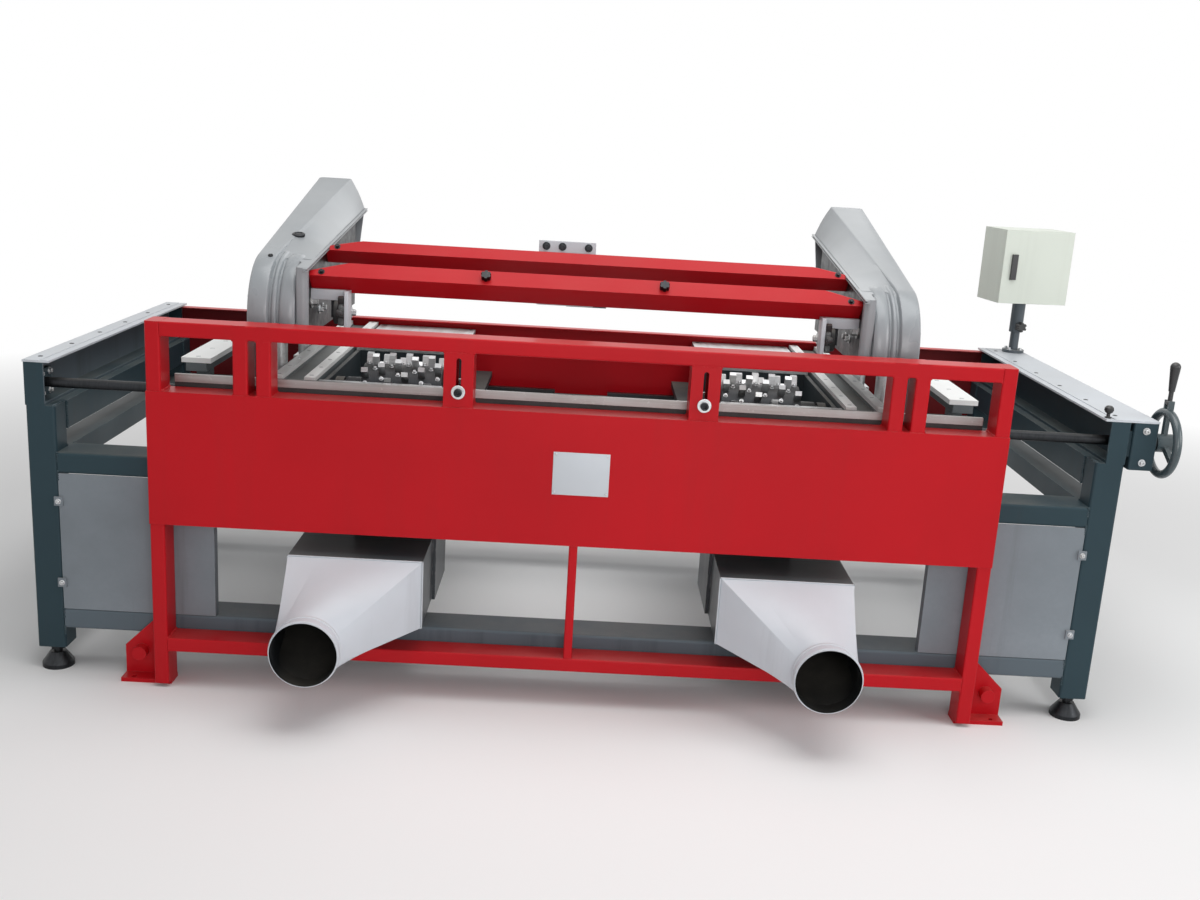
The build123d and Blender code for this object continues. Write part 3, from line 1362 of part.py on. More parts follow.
# Dust hoods: shaft under the cutter, square duct, and a change to a round collar
def dust_hood(side):
    shaft_inner = CUTTER_INNER - CUT_SIDE_CLEAR + DUCT_SHAFT_GAP
    shaft_outer = CUTTER_OUTER + CUT_SIDE_CLEAR - DUCT_SHAFT_GAP
    shaft_front = max(CUT_FRONT, FRONT + RAIL_DEPTH) + DUCT_SHAFT_GAP
    shaft_rear = CUT_REAR - DUCT_SHAFT_GAP
    with BuildPart() as hood:
        slab(
            side * shaft_inner,
            side * shaft_outer,
            shaft_front,
            shaft_rear,
            DUCT_BOTTOM,
            PLATE_BOTTOM,
        )
        slab(
            side * (shaft_inner - DUCT_FLANGE),
            side * (shaft_outer + DUCT_FLANGE),
            shaft_front - DUCT_FLANGE,
            shaft_rear + DUCT_FLANGE,
            PLATE_BOTTOM - DUCT_FLANGE_THICK,
            PLATE_BOTTOM,
        )
        slab(
            side * DUCT_INNER,
            side * DUCT_OUTER,
            DUCT_FRONT,
            shaft_rear,
            DUCT_BOTTOM,
            DUCT_TOP,
        )
        loft([duct_section(side, 0), collar_section(side, COLLAR_OUTSIDE)], ruled=True)
        rod_y(COLLAR_MOUTH, COLLAR_START, side * COLLAR_X, COLLAR_Z, COLLAR_OUTSIDE)
        slab(
            side * (shaft_inner + DUCT_WALL),
            side * (shaft_outer - DUCT_WALL),
            shaft_front + DUCT_WALL,
            shaft_rear - DUCT_WALL,
            DUCT_BOTTOM + DUCT_WALL,
            PLATE_BOTTOM + 1,
            mode=Mode.SUBTRACT,
        )
        slab(
            side * (DUCT_INNER + DUCT_WALL),
            side * (DUCT_OUTER - DUCT_WALL),
            DUCT_FRONT,
            shaft_rear - DUCT_WALL,
            DUCT_BOTTOM + DUCT_WALL,
            DUCT_TOP - DUCT_WALL,
            mode=Mode.SUBTRACT,
        )
        loft(
            [duct_section(side, DUCT_WALL), collar_section(side, COLLAR_OUTSIDE - DUCT_WALL)],
            ruled=True,
            mode=Mode.SUBTRACT,
        )
        rod_y(
            COLLAR_MOUTH - 1,
            COLLAR_START,
            side * COLLAR_X,
            COLLAR_Z,
            COLLAR_OUTSIDE - DUCT_WALL,
            mode=Mode.SUBTRACT,
        )
    return hood.part


for side, side_name in ((LEFT, "left"), (RIGHT, "right")):
    keep(carriage(side), f"carriage_{side_name}")
    keep(table(side), f"table_{side_name}")
    keep(cutter_bearings(side), f"cutter_bearings_{side_name}")
    keep(cutter_head(side), f"cutter_head_{side_name}")
    keep(cutter_knives(side), f"cutter_knives_{side_name}")
    keep(cutter_motor(side), f"cutter_motor_{side_name}")
    keep(motor_pulley(side), f"motor_pulley_{side_name}")
    keep(drive_belt(side), f"drive_belt_{side_name}")
    keep(dust_hood(side), f"dust_hood_{side_name}")


# Height of the arm's top line, and of the rim line, at a depth
def arm_top(y):
    return ARM_TOP_FRONT_Z + ARM_SLOPE * (y - ARM_TOP_FRONT_Y)


def rim_line(y):
    return RIM_FRONT_Z + RIM_SLOPE * (y - ARM_FRONT)


# Side outline of an arm on a plane across X: front wall, bend, rising top, rear, skirt
def arm_outline(x, inset, slope, front_y, top_at_front, bottom, rear_inset, skirt_drop):
    turn = math.pi / 2 - math.atan(slope)
    bend = ARM_BEND - inset
    tangent = bend * math.tan(turn / 2)
    front = front_y
    corner_z = top_at_front
    along_y = math.cos(math.atan(slope))
    along_z = math.sin(math.atan(slope))
    bend_start = (front, corner_z - tangent)
    bend_end = (front + tangent * along_y, corner_z + tangent * along_z)
    rear = ARM_REAR - rear_inset
    rear_top = (rear, corner_z + slope * (rear - front))
    rear_low = (rear, ARM_REAR_TOP - ARM_REAR_DROP - skirt_drop)
    skirt_end = (ARM_SKIRT_REAR - rear_inset, bottom)
    with BuildSketch(Plane.YZ.offset(x)) as outline:
        with BuildLine():
            Line((front, bottom), bend_start)
            RadiusArc(bend_start, bend_end, bend)
            Polyline(bend_end, rear_top, rear_low, skirt_end, (front, bottom))
        make_face()
    return outline.sketch


# The arm cover's outline at one inset from its outer skin
def cover_outline(x, inset, bottom, rear_inset=0.0, skirt_drop=0.0):
    front_y = ARM_FRONT + inset
    drop = inset / math.cos(math.atan(ARM_SLOPE))
    return arm_outline(
        x, inset, ARM_SLOPE, front_y, arm_top(front_y) - drop, bottom, rear_inset, skirt_drop
    )


# A band along the rim line, between two heights measured from it
def rim_band(x, low, high, front_y, rear_y):
    with BuildSketch(Plane.YZ.offset(x)) as band:
        with BuildLine():
            Polyline(
                (front_y, rim_line(front_y) + low),
                (front_y, rim_line(front_y) + high),
                (rear_y, rim_line(rear_y) + high),
                (rear_y, rim_line(rear_y) + low),
                close=True,
            )
        make_face()
    return band.sketch


# Wedge between the ridge and the rim, on a plane across Y
def wall_section(side, y, ridge_x, ridge_top, inset, low):
    foot_x = ARM_INNER + RIM_THICK + inset
    outer_x = ARM_STEP_X + inset
    with BuildSketch(Plane.XZ.offset(-y)) as section:
        with BuildLine():
            Polyline(
                (side * outer_x, rim_line(y) + low),
                (side * outer_x, ridge_top - inset),
                (side * (ridge_x + inset), ridge_top - inset),
                (side * foot_x, rim_line(y) + ARM_WALL_FOOT - inset),
                (side * foot_x, rim_line(y) + low),
                close=True,
            )
        make_face()
    return section.sketch


# Arm covers: stepped skin round a bend, leaning inner wall, rim strip
def arm_cover(side):
    skin_x = min(side * ARM_OUTER, side * ARM_STEP_X)
    band_x = min(side * ARM_STEP_X, side * ARM_BAND_X)
    hollow_x = min(side * (ARM_OUTER - ARM_SHEET), side * ARM_STEP_X)
    inner_hollow_x = min(side * (ARM_STEP_X + ARM_SHEET), side * ARM_BAND_X)
    ridge_front = ARM_FRONT + ARM_STEP + ARM_BEND * 0.8
    ridge_drop = ARM_STEP / math.cos(math.atan(ARM_SLOPE))
    ridge_top_front = arm_top(ridge_front) - ridge_drop
    ridge_top_rear = arm_top(ARM_REAR) - ridge_drop
    ridge_front_x = ARM_STEP_X - ARM_RIDGE_INSET
    strip_front = ARM_FRONT + RIM_SETBACK
    below = ARM_BOTTOM - ARM_BEND
    with BuildPart() as cover:
        extrude(cover_outline(skin_x, 0, ARM_BOTTOM), amount=ARM_OUTER - ARM_STEP_X)
        extrude(cover_outline(band_x, ARM_STEP, ARM_BOTTOM), amount=ARM_STEP_X - ARM_BAND_X)
        extrude(
            cover_outline(hollow_x, ARM_SHEET, below, ARM_SHEET, ARM_BEND),
            amount=ARM_OUTER - ARM_SHEET - ARM_STEP_X,
            mode=Mode.SUBTRACT,
        )
        extrude(
            cover_outline(inner_hollow_x, ARM_STEP + ARM_SHEET, below, ARM_SHEET, ARM_BEND),
            amount=ARM_STEP_X + ARM_SHEET - ARM_BAND_X,
            mode=Mode.SUBTRACT,
        )
        # The front band ends behind the bend, where the leaning wall takes over
        extrude(
            rim_band(band_x, 0, ARM_BEND, ridge_front, ARM_REAR + RIM_THICK),
            amount=ARM_STEP_X - ARM_BAND_X,
            mode=Mode.SUBTRACT,
        )
        loft(
            [
                wall_section(side, ridge_front, ridge_front_x, ridge_top_front, 0, 0),
                wall_section(side, ARM_REAR, ARM_RIDGE_REAR_X, ridge_top_rear, 0, 0),
            ],
            ruled=True,
        )
        loft(
            [
                wall_section(
                    side, ridge_front - ARM_SHEET, ridge_front_x, ridge_top_front, ARM_SHEET, -RIM_THICK
                ),
                wall_section(
                    side, ARM_REAR - ARM_SHEET, ARM_RIDGE_REAR_X, ridge_top_rear, ARM_SHEET, -RIM_THICK
                ),
            ],
            ruled=True,
            mode=Mode.SUBTRACT,
        )
        # Rim along the wall's foot, and its strip down the front
        rim_x = min(side * ARM_INNER, side * (ARM_BAND_X + ARM_SHEET))
        extrude(
            rim_band(rim_x, -RIM_THICK, 0, strip_front, ARM_REAR + RIM_THICK),
            amount=ARM_BAND_X + ARM_SHEET - ARM_INNER,
        )
        slab(
            side * ARM_INNER,
            side * (ARM_BAND_X + ARM_SHEET),
            strip_front,
            strip_front + RIM_THICK,
            ARM_BOTTOM,
            rim_line(strip_front),
        )
    return cover.part


# Arm beams: inner plate, column sleeves, idler stub and the roller's hanger
def arm_beam(side):
    plate_x = min(side * ARM_PLATE_X, side * (ARM_PLATE_X + ARM_PLATE))
    plate_back = ARM_PLATE_X + ARM_PLATE
    with BuildPart() as beam:
        with BuildSketch(Plane.YZ.offset(plate_x)) as plate:
            with BuildLine():
                Polyline(
                    (ARM_PLATE_FRONT, ARM_PLATE_BOTTOM),
                    (ARM_PLATE_FRONT, rim_line(ARM_PLATE_FRONT) - RIM_THICK),
                    (ARM_SKIRT_REAR, rim_line(ARM_SKIRT_REAR) - RIM_THICK),
                    (ARM_SKIRT_REAR, ARM_PLATE_BOTTOM),
                    close=True,
                )
            make_face()
        extrude(plate.sketch, amount=ARM_PLATE)
        for column_y in (COLUMN_FRONT, COLUMN_REAR):
            slab(
                side * plate_back,
                side * (ARM_OUTER - ARM_SHEET),
                column_y - SLEEVE_DEPTH / 2,
                column_y + SLEEVE_DEPTH / 2,
                SLEEVE_BOTTOM,
                SLEEVE_BOTTOM + SLEEVE_HEIGHT,
            )
            rod_z(
                SLEEVE_BOTTOM - 1,
                SLEEVE_BOTTOM + SLEEVE_HEIGHT + 1,
                side * COLUMN_X,
                column_y,
                COLUMN_RADIUS + RUN,
                mode=Mode.SUBTRACT,
            )
        rod_x(side * ARM_PLATE_X, side * STUB_END, IDLER_Y, CHAIN_Z, IDLER_STUB_RADIUS)
        rod_x(
            side * (ARM_PLATE_X - 1),
            side * (plate_back + 1),
            DRIVE_Y,
            CHAIN_Z,
            FEED_SHAFT_RADIUS + RUN,
            mode=Mode.SUBTRACT,
        )
        # Hanger: a bar across, two ears and the axle between them
        hanger_z = ROLLER_Z + ROLLER_BAR_LIFT
        ear_gap = ROLLER_WIDTH / 2 + SLIDE
        slab(
            side * (ROLLER_X - ear_gap - ROLLER_EAR),
            side * ARM_PLATE_X,
            ROLLER_Y - ROLLER_BAR / 2,
            ROLLER_Y + ROLLER_BAR / 2,
            hanger_z - ROLLER_BAR / 2,
            hanger_z + ROLLER_BAR / 2,
        )
        for ear_start in (ROLLER_X - ear_gap - ROLLER_EAR, ROLLER_X + ear_gap):
            slab(
                side * ear_start,
                side * (ear_start + ROLLER_EAR),
                ROLLER_Y - ROLLER_BAR / 2,
                ROLLER_Y + ROLLER_BAR / 2,
                ROLLER_Z - 2 * ROLLER_AXLE_RADIUS,
                hanger_z,
            )
        rod_x(
            side * (ROLLER_X - ear_gap - ROLLER_EAR),
            side * (ROLLER_X + ear_gap + ROLLER_EAR),
            ROLLER_Y,
            ROLLER_Z,
            ROLLER_AXLE_RADIUS,
        )
    return beam.part


# Press rollers on the hangers' axles
def press_roller(side):
    with BuildPart() as roller:
        left_face = side * ROLLER_X - ROLLER_WIDTH / 2
        rod_x(left_face, left_face + ROLLER_WIDTH, ROLLER_Y, ROLLER_Z, ROLLER_RADIUS)
        fillet(roller.edges().filter_by(GeomType.CIRCLE), ROLLER_AXLE_RADIUS / 2)
        rod_x(
            left_face - 1,
            left_face + ROLLER_WIDTH + 1,
            ROLLER_Y,
            ROLLER_Z,
            ROLLER_AXLE_RADIUS + RUN,
            mode=Mode.SUBTRACT,
        )
    return roller.part


# A toothed disc on the plane of its axis
def sprocket_disc(side):
    with Locations((0, 0, side * SPROCKET_X)):
        Cylinder(SPROCKET_RADIUS, SPROCKET_WIDTH)
        with PolarLocations(SPROCKET_RADIUS, SPROCKET_TEETH):
            Cylinder(TOOTH_GAP_RADIUS, SPROCKET_WIDTH, mode=Mode.SUBTRACT)


# Idler sprockets on the beams' stubs
def idler_sprocket(side):
    with BuildPart(IDLER_PLANE) as idler:
        sprocket_disc(side)
        with Locations((0, 0, side * SPROCKET_X)):
            Cylinder(IDLER_STUB_RADIUS + RUN, 2 * SPROCKET_WIDTH, mode=Mode.SUBTRACT)
    return idler.part


for side, side_name in ((LEFT, "left"), (RIGHT, "right")):
    keep(arm_cover(side), f"arm_cover_{side_name}")
    keep(arm_beam(side), f"arm_beam_{side_name}")
    keep(press_roller(side), f"press_roller_{side_name}")
    keep(idler_sprocket(side), f"idler_sprocket_{side_name}")

# Feed shaft with its two drive sprockets
with BuildPart(DRIVE_PLANE) as feed_shaft:
    Cylinder(FEED_SHAFT_RADIUS, 2 * FEED_SHAFT_END)
    sprocket_disc(LEFT)
    sprocket_disc(RIGHT)
keep(feed_shaft.part, "feed_shaft")

# Feed chains round the idlers and the drive sprockets
with BuildPart() as feed_chains:
    chain_centres = ((IDLER_Y, CHAIN_Z), (DRIVE_Y, CHAIN_Z))
    for side in (LEFT, RIGHT):
        chain_x = side * SPROCKET_X - CHAIN_WIDTH / 2
        outer_loop = belt_outline(chain_x, chain_centres, (CHAIN_OUTER, CHAIN_OUTER), 0)
        inner_loop = belt_outline(chain_x, chain_centres, (CHAIN_INNER, CHAIN_INNER), 0)
        extrude(outer_loop, amount=CHAIN_WIDTH)
        extrude(inner_loop, amount=CHAIN_WIDTH, mode=Mode.SUBTRACT)
keep(feed_chains.part, "feed_chains")


# Tie bars: angle irons with the ridge to the front, the upper leg cut back at both ends
def tie_bar(ridge_y, ridge_z, upper_leg, lower_leg):
    upper = upper_leg / math.sqrt(2)
    lower = lower_leg / math.sqrt(2)
    skin = TIE_THICK * math.sqrt(2)
    with BuildPart() as bar:
        with BuildSketch(Plane.YZ.offset(-ARM_PLATE_X)) as angle:
            with BuildLine():
                Polyline(
                    (ridge_y, ridge_z),
                    (ridge_y + upper, ridge_z + upper),
                    (ridge_y + upper + skin / 2, ridge_z + upper - skin / 2),
                    (ridge_y + skin, ridge_z),
                    (ridge_y + lower + skin / 2, ridge_z - lower + skin / 2),
                    (ridge_y + lower, ridge_z - lower),
                    close=True,
                )
            make_face()
        extrude(angle.sketch, amount=2 * ARM_PLATE_X)
        taper_start = ARM_PLATE_X - TIE_TAPER_LENGTH
        high = ridge_z + upper + 1
        for side in (LEFT, RIGHT):
            with BuildSketch(Plane.XZ.offset(-ridge_y - 2 * lower_leg)) as wedge:
                with BuildLine():
                    Polyline(
                        (side * taper_start, high),
                        (side * (ARM_PLATE_X + 1), high),
                        (side * (ARM_PLATE_X + 1), high - TIE_TAPER * upper),
                        close=True,
                    )
                make_face()
            extrude(wedge.sketch, amount=4 * lower_leg, mode=Mode.SUBTRACT)
            # Notch where the end passes under the arm's rim
            slab(
                side * ARM_INNER,
                side * (ARM_PLATE_X + 1),
                ridge_y - lower_leg,
                ridge_y + 2 * lower_leg,
                rim_line(ridge_y) - RIM_THICK,
                ridge_z + 2 * lower_leg,
                mode=Mode.SUBTRACT,
            )
    return bar


# A clamp screw's seat: the middle of the front tie bar's upper leg, square to its face
def clamp_seat(side):
    half_leg = FRONT_TIE_UPPER / math.sqrt(2) / 2
    clamp_x = CLAMP_MIDDLE + side * CLAMP_HALF_SPACING
    return Plane(
        origin=(clamp_x, FRONT_TIE_Y + half_leg, FRONT_TIE_Z + half_leg),
        x_dir=(1, 0, 0),
        z_dir=(0, -1, 1),
    )


front_tie_bar = tie_bar(FRONT_TIE_Y, FRONT_TIE_Z, FRONT_TIE_UPPER, FRONT_TIE_LOWER)
with front_tie_bar:
    with Locations(clamp_seat(LEFT), clamp_seat(RIGHT)):
        Cylinder(CLAMP_RADIUS + RUN, 4 * TIE_THICK, mode=Mode.SUBTRACT)
keep(front_tie_bar.part, "front_tie_bar")
keep(tie_bar(REAR_TIE_Y, REAR_TIE_Z, REAR_TIE_UPPER, REAR_TIE_LOWER).part, "rear_tie_bar")


# Clamp screws: stem through the front tie bar and a fluted knob
def clamp_screw(side):
    knob_top = CLAMP_CLEAR + CLAMP_KNOB
    with BuildPart(clamp_seat(side)) as screw:
        rod_z(CLAMP_CLEAR, knob_top, 0, 0, CLAMP_KNOB_RADIUS)
        with PolarLocations(CLAMP_KNOB_RADIUS, CLAMP_FLUTES):
            Cylinder(CLAMP_RADIUS / 2, 4 * knob_top, mode=Mode.SUBTRACT)
        rod_z(-TIE_THICK - CLAMP_DROP, CLAMP_CLEAR, 0, 0, CLAMP_RADIUS)
    return screw.part


keep(clamp_screw(LEFT), "clamp_screw_left")
keep(clamp_screw(RIGHT), "clamp_screw_right")

# Feed gear motor on the shaft, and the bracket that holds it to the rear tie bar
GEARBOX_FRONT = DRIVE_Y - GEARBOX_DEPTH / 2
GEARBOX_BACK = DRIVE_Y + GEARBOX_DEPTH / 2
with BuildPart() as feed_gearmotor:
    slab(
        -GEARBOX_HALF,
        GEARBOX_HALF,
        GEARBOX_FRONT,
        GEARBOX_BACK,
        CHAIN_Z - GEARBOX_HEIGHT / 2,
        CHAIN_Z + GEARBOX_HEIGHT / 2,
    )
    rod_y(GEARBOX_BACK, GEARBOX_BACK + GEARMOTOR_LENGTH, 0, CHAIN_Z, GEARMOTOR_RADIUS)
    rod_x(
        -GEARBOX_HALF - 1,
        GEARBOX_HALF + 1,
        DRIVE_Y,
        CHAIN_Z,
        FEED_SHAFT_RADIUS + RUN,
        mode=Mode.SUBTRACT,
    )
keep(feed_gearmotor.part, "feed_gearmotor")

with BuildPart() as gearmotor_bracket:
    rear_tie_back = REAR_TIE_Y + (REAR_TIE_LOWER + TIE_THICK) / math.sqrt(2)
    slab(
        BRACKET_INNER,
        BRACKET_OUTER,
        rear_tie_back,
        rear_tie_back + BRACKET_PLATE,
        CHAIN_Z + GEARBOX_HEIGHT / 2 - BRACKET_ARM,
        BRACKET_TOP,
    )
    slab(
        -BRACKET_ARM,
        BRACKET_OUTER,
        rear_tie_back,
        GEARBOX_FRONT,
        CHAIN_Z + GEARBOX_HEIGHT / 2 - BRACKET_ARM,
        CHAIN_Z + GEARBOX_HEIGHT / 2 - BRACKET_ARM + BRACKET_PLATE,
    )
keep(gearmotor_bracket.part, "gearmotor_bracket")

# Control post: flange on the cover plate and a round pole
with BuildPart() as control_post:
    rod_z(COVER_TOP, COVER_TOP + POST_FLANGE, POST_X, POST_Y, POST_FLANGE_RADIUS)
    rod_z(COVER_TOP, POST_TOP, POST_X, POST_Y, POST_RADIUS)
keep(control_post.part, "control_post")

# Control box: shell open to the front, with a socket that turns on the post.
# Its two hinges stand at the right front edge, each with a pin between two knuckles.
BOX_FRONT = -BOX_DEPTH / 2
HINGE_X = BOX_WIDTH / 2
HINGE_HEIGHTS = (HINGE_INSET, BOX_HEIGHT - HINGE_INSET)
LEAF_HALF = HINGE_LEAF / 2
KNUCKLE_TOP = LEAF_HALF + SLIDE + HINGE_KNUCKLE
with BuildPart(BOX_PLANE) as control_box:
    slab(-BOX_WIDTH / 2, BOX_WIDTH / 2, BOX_FRONT, BOX_DEPTH / 2, 0, BOX_HEIGHT)
    slab(
        -BOX_WIDTH / 2 + BOX_WALL,
        BOX_WIDTH / 2 - BOX_WALL,
        BOX_FRONT - 1,
        BOX_DEPTH / 2 - BOX_WALL,
        BOX_WALL,
        BOX_HEIGHT - BOX_WALL,
        mode=Mode.SUBTRACT,
    )
    rod_z(-SOCKET_HEIGHT, 0, 0, 0, SOCKET_RADIUS)
    rod_z(-SOCKET_HEIGHT - 1, POST_TOP - BOX_BOTTOM + 1, 0, 0, POST_RADIUS + RUN, mode=Mode.SUBTRACT)
    rod_y(-SOCKET_RADIUS - 1, -POST_RADIUS, 0, -KNOB_DROP, KNOB_STEM_RADIUS + RUN, mode=Mode.SUBTRACT)
    for height in HINGE_HEIGHTS:
        rod_z(
            height - LEAF_HALF - SLIDE,
            height + LEAF_HALF + SLIDE,
            HINGE_X,
            BOX_FRONT,
            HINGE_RADIUS + SLIDE,
            mode=Mode.SUBTRACT,
        )
        rod_z(height - KNUCKLE_TOP, height - LEAF_HALF - SLIDE, HINGE_X, BOX_FRONT, HINGE_RADIUS)
        rod_z(height + LEAF_HALF + SLIDE, height + KNUCKLE_TOP, HINGE_X, BOX_FRONT, HINGE_RADIUS)
        rod_z(height - KNUCKLE_TOP, height + KNUCKLE_TOP, HINGE_X, BOX_FRONT, HINGE_PIN_RADIUS)
keep(control_box.part, "control_box")

# Door: a shallow tray on the box's front, hinged along its right edge
DOOR_BACK = BOX_FRONT - SLIDE
DOOR_FRONT = DOOR_BACK - DOOR_THICK
with BuildPart(BOX_PLANE) as control_door:
    slab(-BOX_WIDTH / 2, BOX_WIDTH / 2, DOOR_FRONT, DOOR_BACK, 0, BOX_HEIGHT)
    slab(
        -BOX_WIDTH / 2 + DOOR_SHEET,
        BOX_WIDTH / 2 - DOOR_SHEET,
        DOOR_FRONT + DOOR_SHEET,
        DOOR_BACK + 1,
        DOOR_SHEET,
        BOX_HEIGHT - DOOR_SHEET,
        mode=Mode.SUBTRACT,
    )
    rod_y(
        DOOR_FRONT - 1,
        DOOR_FRONT + DOOR_SHEET + 1,
        LATCH_X,
        BOX_HEIGHT / 2,
        LATCH_PIN_RADIUS + RUN,
        mode=Mode.SUBTRACT,
    )
    for height in HINGE_HEIGHTS:
        rod_z(
            height - KNUCKLE_TOP - SLIDE,
            height + KNUCKLE_TOP + SLIDE,
            HINGE_X,
            BOX_FRONT,
            HINGE_RADIUS + SLIDE,
            mode=Mode.SUBTRACT,
        )
        slab(
            HINGE_X - 2 * HINGE_RADIUS,
            HINGE_X,
            DOOR_FRONT,
            DOOR_BACK,
            height - LEAF_HALF,
            height + LEAF_HALF,
        )
        rod_z(height - LEAF_HALF, height + LEAF_HALF, HINGE_X, BOX_FRONT, HINGE_RADIUS)
        rod_z(
            height - LEAF_HALF - 1,
            height + LEAF_HALF + 1,
            HINGE_X,
            BOX_FRONT,
            HINGE_PIN_RADIUS + RUN,
            mode=Mode.SUBTRACT,
        )
keep(control_door.part, "control_door")

# Latch: a black handle on a pin through the door
with BuildPart(BOX_PLANE) as door_latch:
    slab(
        LATCH_X - LATCH_WIDTH / 2,
        LATCH_X + LATCH_WIDTH / 2,
        DOOR_FRONT - SLIDE - LATCH_THICK,
        DOOR_FRONT - SLIDE,
        BOX_HEIGHT / 2 - LATCH_HEIGHT / 2,
        BOX_HEIGHT / 2 + LATCH_HEIGHT / 2,
    )
    rod_y(
        DOOR_FRONT - SLIDE,
        DOOR_FRONT + DOOR_SHEET + LATCH_PIN_RADIUS,
        LATCH_X,
        BOX_HEIGHT / 2,
        LATCH_PIN_RADIUS,
    )
keep(door_latch.part, "door_latch")

# Clamp knob on the socket's front
with BuildPart(BOX_PLANE) as box_clamp_knob:
    knob_back = -SOCKET_RADIUS - SLIDE
    rod_y(knob_back, -POST_RADIUS - SLIDE, 0, -KNOB_DROP, KNOB_STEM_RADIUS)
    rod_y(knob_back - KNOB_LENGTH, knob_back, 0, -KNOB_DROP, KNOB_RADIUS)
    with Locations(Location((0, knob_back - KNOB_LENGTH / 2, -KNOB_DROP), (90, 0, 0))):
        with PolarLocations(KNOB_RADIUS, 6):
            Cylinder(KNOB_STEM_RADIUS, 2 * KNOB_LENGTH, mode=Mode.SUBTRACT)
keep(box_clamp_knob.part, "box_clamp_knob")
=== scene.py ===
# %% [markdown]
# # A board notching machine, dressed in Blender
#
# This lesson dresses a floor machine that cuts notches into boards. Its solids come from a CAD frame that
# is already packed, in metres, with +X to the handwheel, +Y to the back and +Z up. Blender adds the finish
# of every surface and the small pieces, such as screw threads, chain links, bolts, welds and belts, that
# make it look built.
#
# The first cell loads the frame. The dressed machine may not grow past it.

# %% Load the frame
import json
import math

import bmesh
import bpy
from mathutils import Matrix, Vector


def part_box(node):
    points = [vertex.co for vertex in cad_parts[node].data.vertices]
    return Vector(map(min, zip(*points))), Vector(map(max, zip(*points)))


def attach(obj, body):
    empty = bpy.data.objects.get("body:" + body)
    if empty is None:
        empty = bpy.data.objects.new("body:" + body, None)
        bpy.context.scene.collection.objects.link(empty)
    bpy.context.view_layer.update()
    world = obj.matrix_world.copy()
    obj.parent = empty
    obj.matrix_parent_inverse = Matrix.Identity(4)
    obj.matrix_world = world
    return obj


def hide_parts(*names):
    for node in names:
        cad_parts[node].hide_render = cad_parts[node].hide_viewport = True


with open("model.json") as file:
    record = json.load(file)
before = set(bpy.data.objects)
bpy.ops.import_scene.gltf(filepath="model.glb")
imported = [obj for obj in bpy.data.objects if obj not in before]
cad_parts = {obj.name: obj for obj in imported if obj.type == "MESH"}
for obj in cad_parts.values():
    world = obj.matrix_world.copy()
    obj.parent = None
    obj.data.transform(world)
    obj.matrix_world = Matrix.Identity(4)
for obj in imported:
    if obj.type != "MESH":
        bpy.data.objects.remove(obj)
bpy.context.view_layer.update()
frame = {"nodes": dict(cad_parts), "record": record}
scene = bpy.context.scene
MM = 0.001

# %% [markdown]
# ## Camera
#
# The photo was taken by hand from in front, a little above the machine, with a small tilt to the side. Yaw,
# pitch and roll are easier to think about than a matrix, so the camera's axes are worked out from those
# three angles.

# %% Camera at the photo's place
SENSOR_WIDTH = 36.0
LENS = 37.83
CAMERA_PLACE = Vector((-6.7, -3987.0, 1589.5)) * MM
CAMERA_YAW = math.radians(1.116)
CAMERA_PITCH = math.radians(14.068)
CAMERA_ROLL = math.radians(3.386)


def camera_axes(yaw, pitch, roll):
    """Right, down and forward directions of a camera that stands level at zero roll."""
    forward = Vector((math.sin(yaw) * math.cos(pitch), math.cos(yaw) * math.cos(pitch), -math.sin(pitch)))
    level = Vector((math.cos(yaw), -math.sin(yaw), 0.0))
    below = forward.cross(level)
    right = level * math.cos(roll) - below * math.sin(roll)
    down = level * math.sin(roll) + below * math.cos(roll)
    return right, down, forward


lens_data = bpy.data.cameras.new("photo_camera")
lens_data.sensor_fit = "HORIZONTAL"
lens_data.sensor_width = SENSOR_WIDTH
lens_data.lens = LENS
lens_data.clip_end = 100.0
camera = bpy.data.objects.new("photo_camera", lens_data)
right, down, forward = camera_axes(CAMERA_YAW, CAMERA_PITCH, CAMERA_ROLL)
turn = Matrix((right, -down, -forward)).transposed().to_4x4()
camera.matrix_world = Matrix.Translation(CAMERA_PLACE) @ turn
scene.collection.objects.link(camera)
scene.camera = camera
print("camera looks along", [round(v, 3) for v in forward])

# %% [markdown]
# ## Nodes in code
#
# Every finish below is a small network of shader nodes. One helper adds a node, sets its options and fills
# its inputs: a plain value is set on the socket, and a socket of another node is linked to it.


# %% Helpers for node trees
WHITE = (1.0, 1.0, 1.0, 1.0)


def add_node(tree, kind, inputs=None, **options):
    """A node with its options set and its inputs filled by name or number."""
    made = tree.nodes.new(kind)
    for name, value in options.items():
        setattr(made, name, value)
    for name, value in (inputs or {}).items():
        if isinstance(value, bpy.types.NodeSocket):
            tree.links.new(value, made.inputs[name])
        else:
            made.inputs[name].default_value = value
    return made


def node_out(tree, kind, inputs=None, **options):
    """The first output of a new node."""
    return add_node(tree, kind, inputs, **options).outputs[0]


def math_node(tree, operation, first, second=0.0, clamp=False):
    """One sum, product or other step, as an output socket."""
    return node_out(tree, "ShaderNodeMath", {0: first, 1: second}, operation=operation, use_clamp=clamp)


def span(tree, value, low, high, to_low=0.0, to_high=1.0):
    """Stretches a value from one span to another, and clamps it there."""
    return node_out(tree, "ShaderNodeMapRange", {"Value": value, 1: low, 2: high, 3: to_low, 4: to_high})


def blend_colour(tree, factor, first, second):
    """Two colours mixed by a factor, as an output socket."""
    return add_node(tree, "ShaderNodeMix", {0: factor, 6: first, 7: second}, data_type="RGBA").outputs[2]


def new_material(name):
    """An empty node material, and its tree."""
    made = bpy.data.materials.new(name)
    made.use_nodes = True
    made.node_tree.nodes.clear()
    return made, made.node_tree


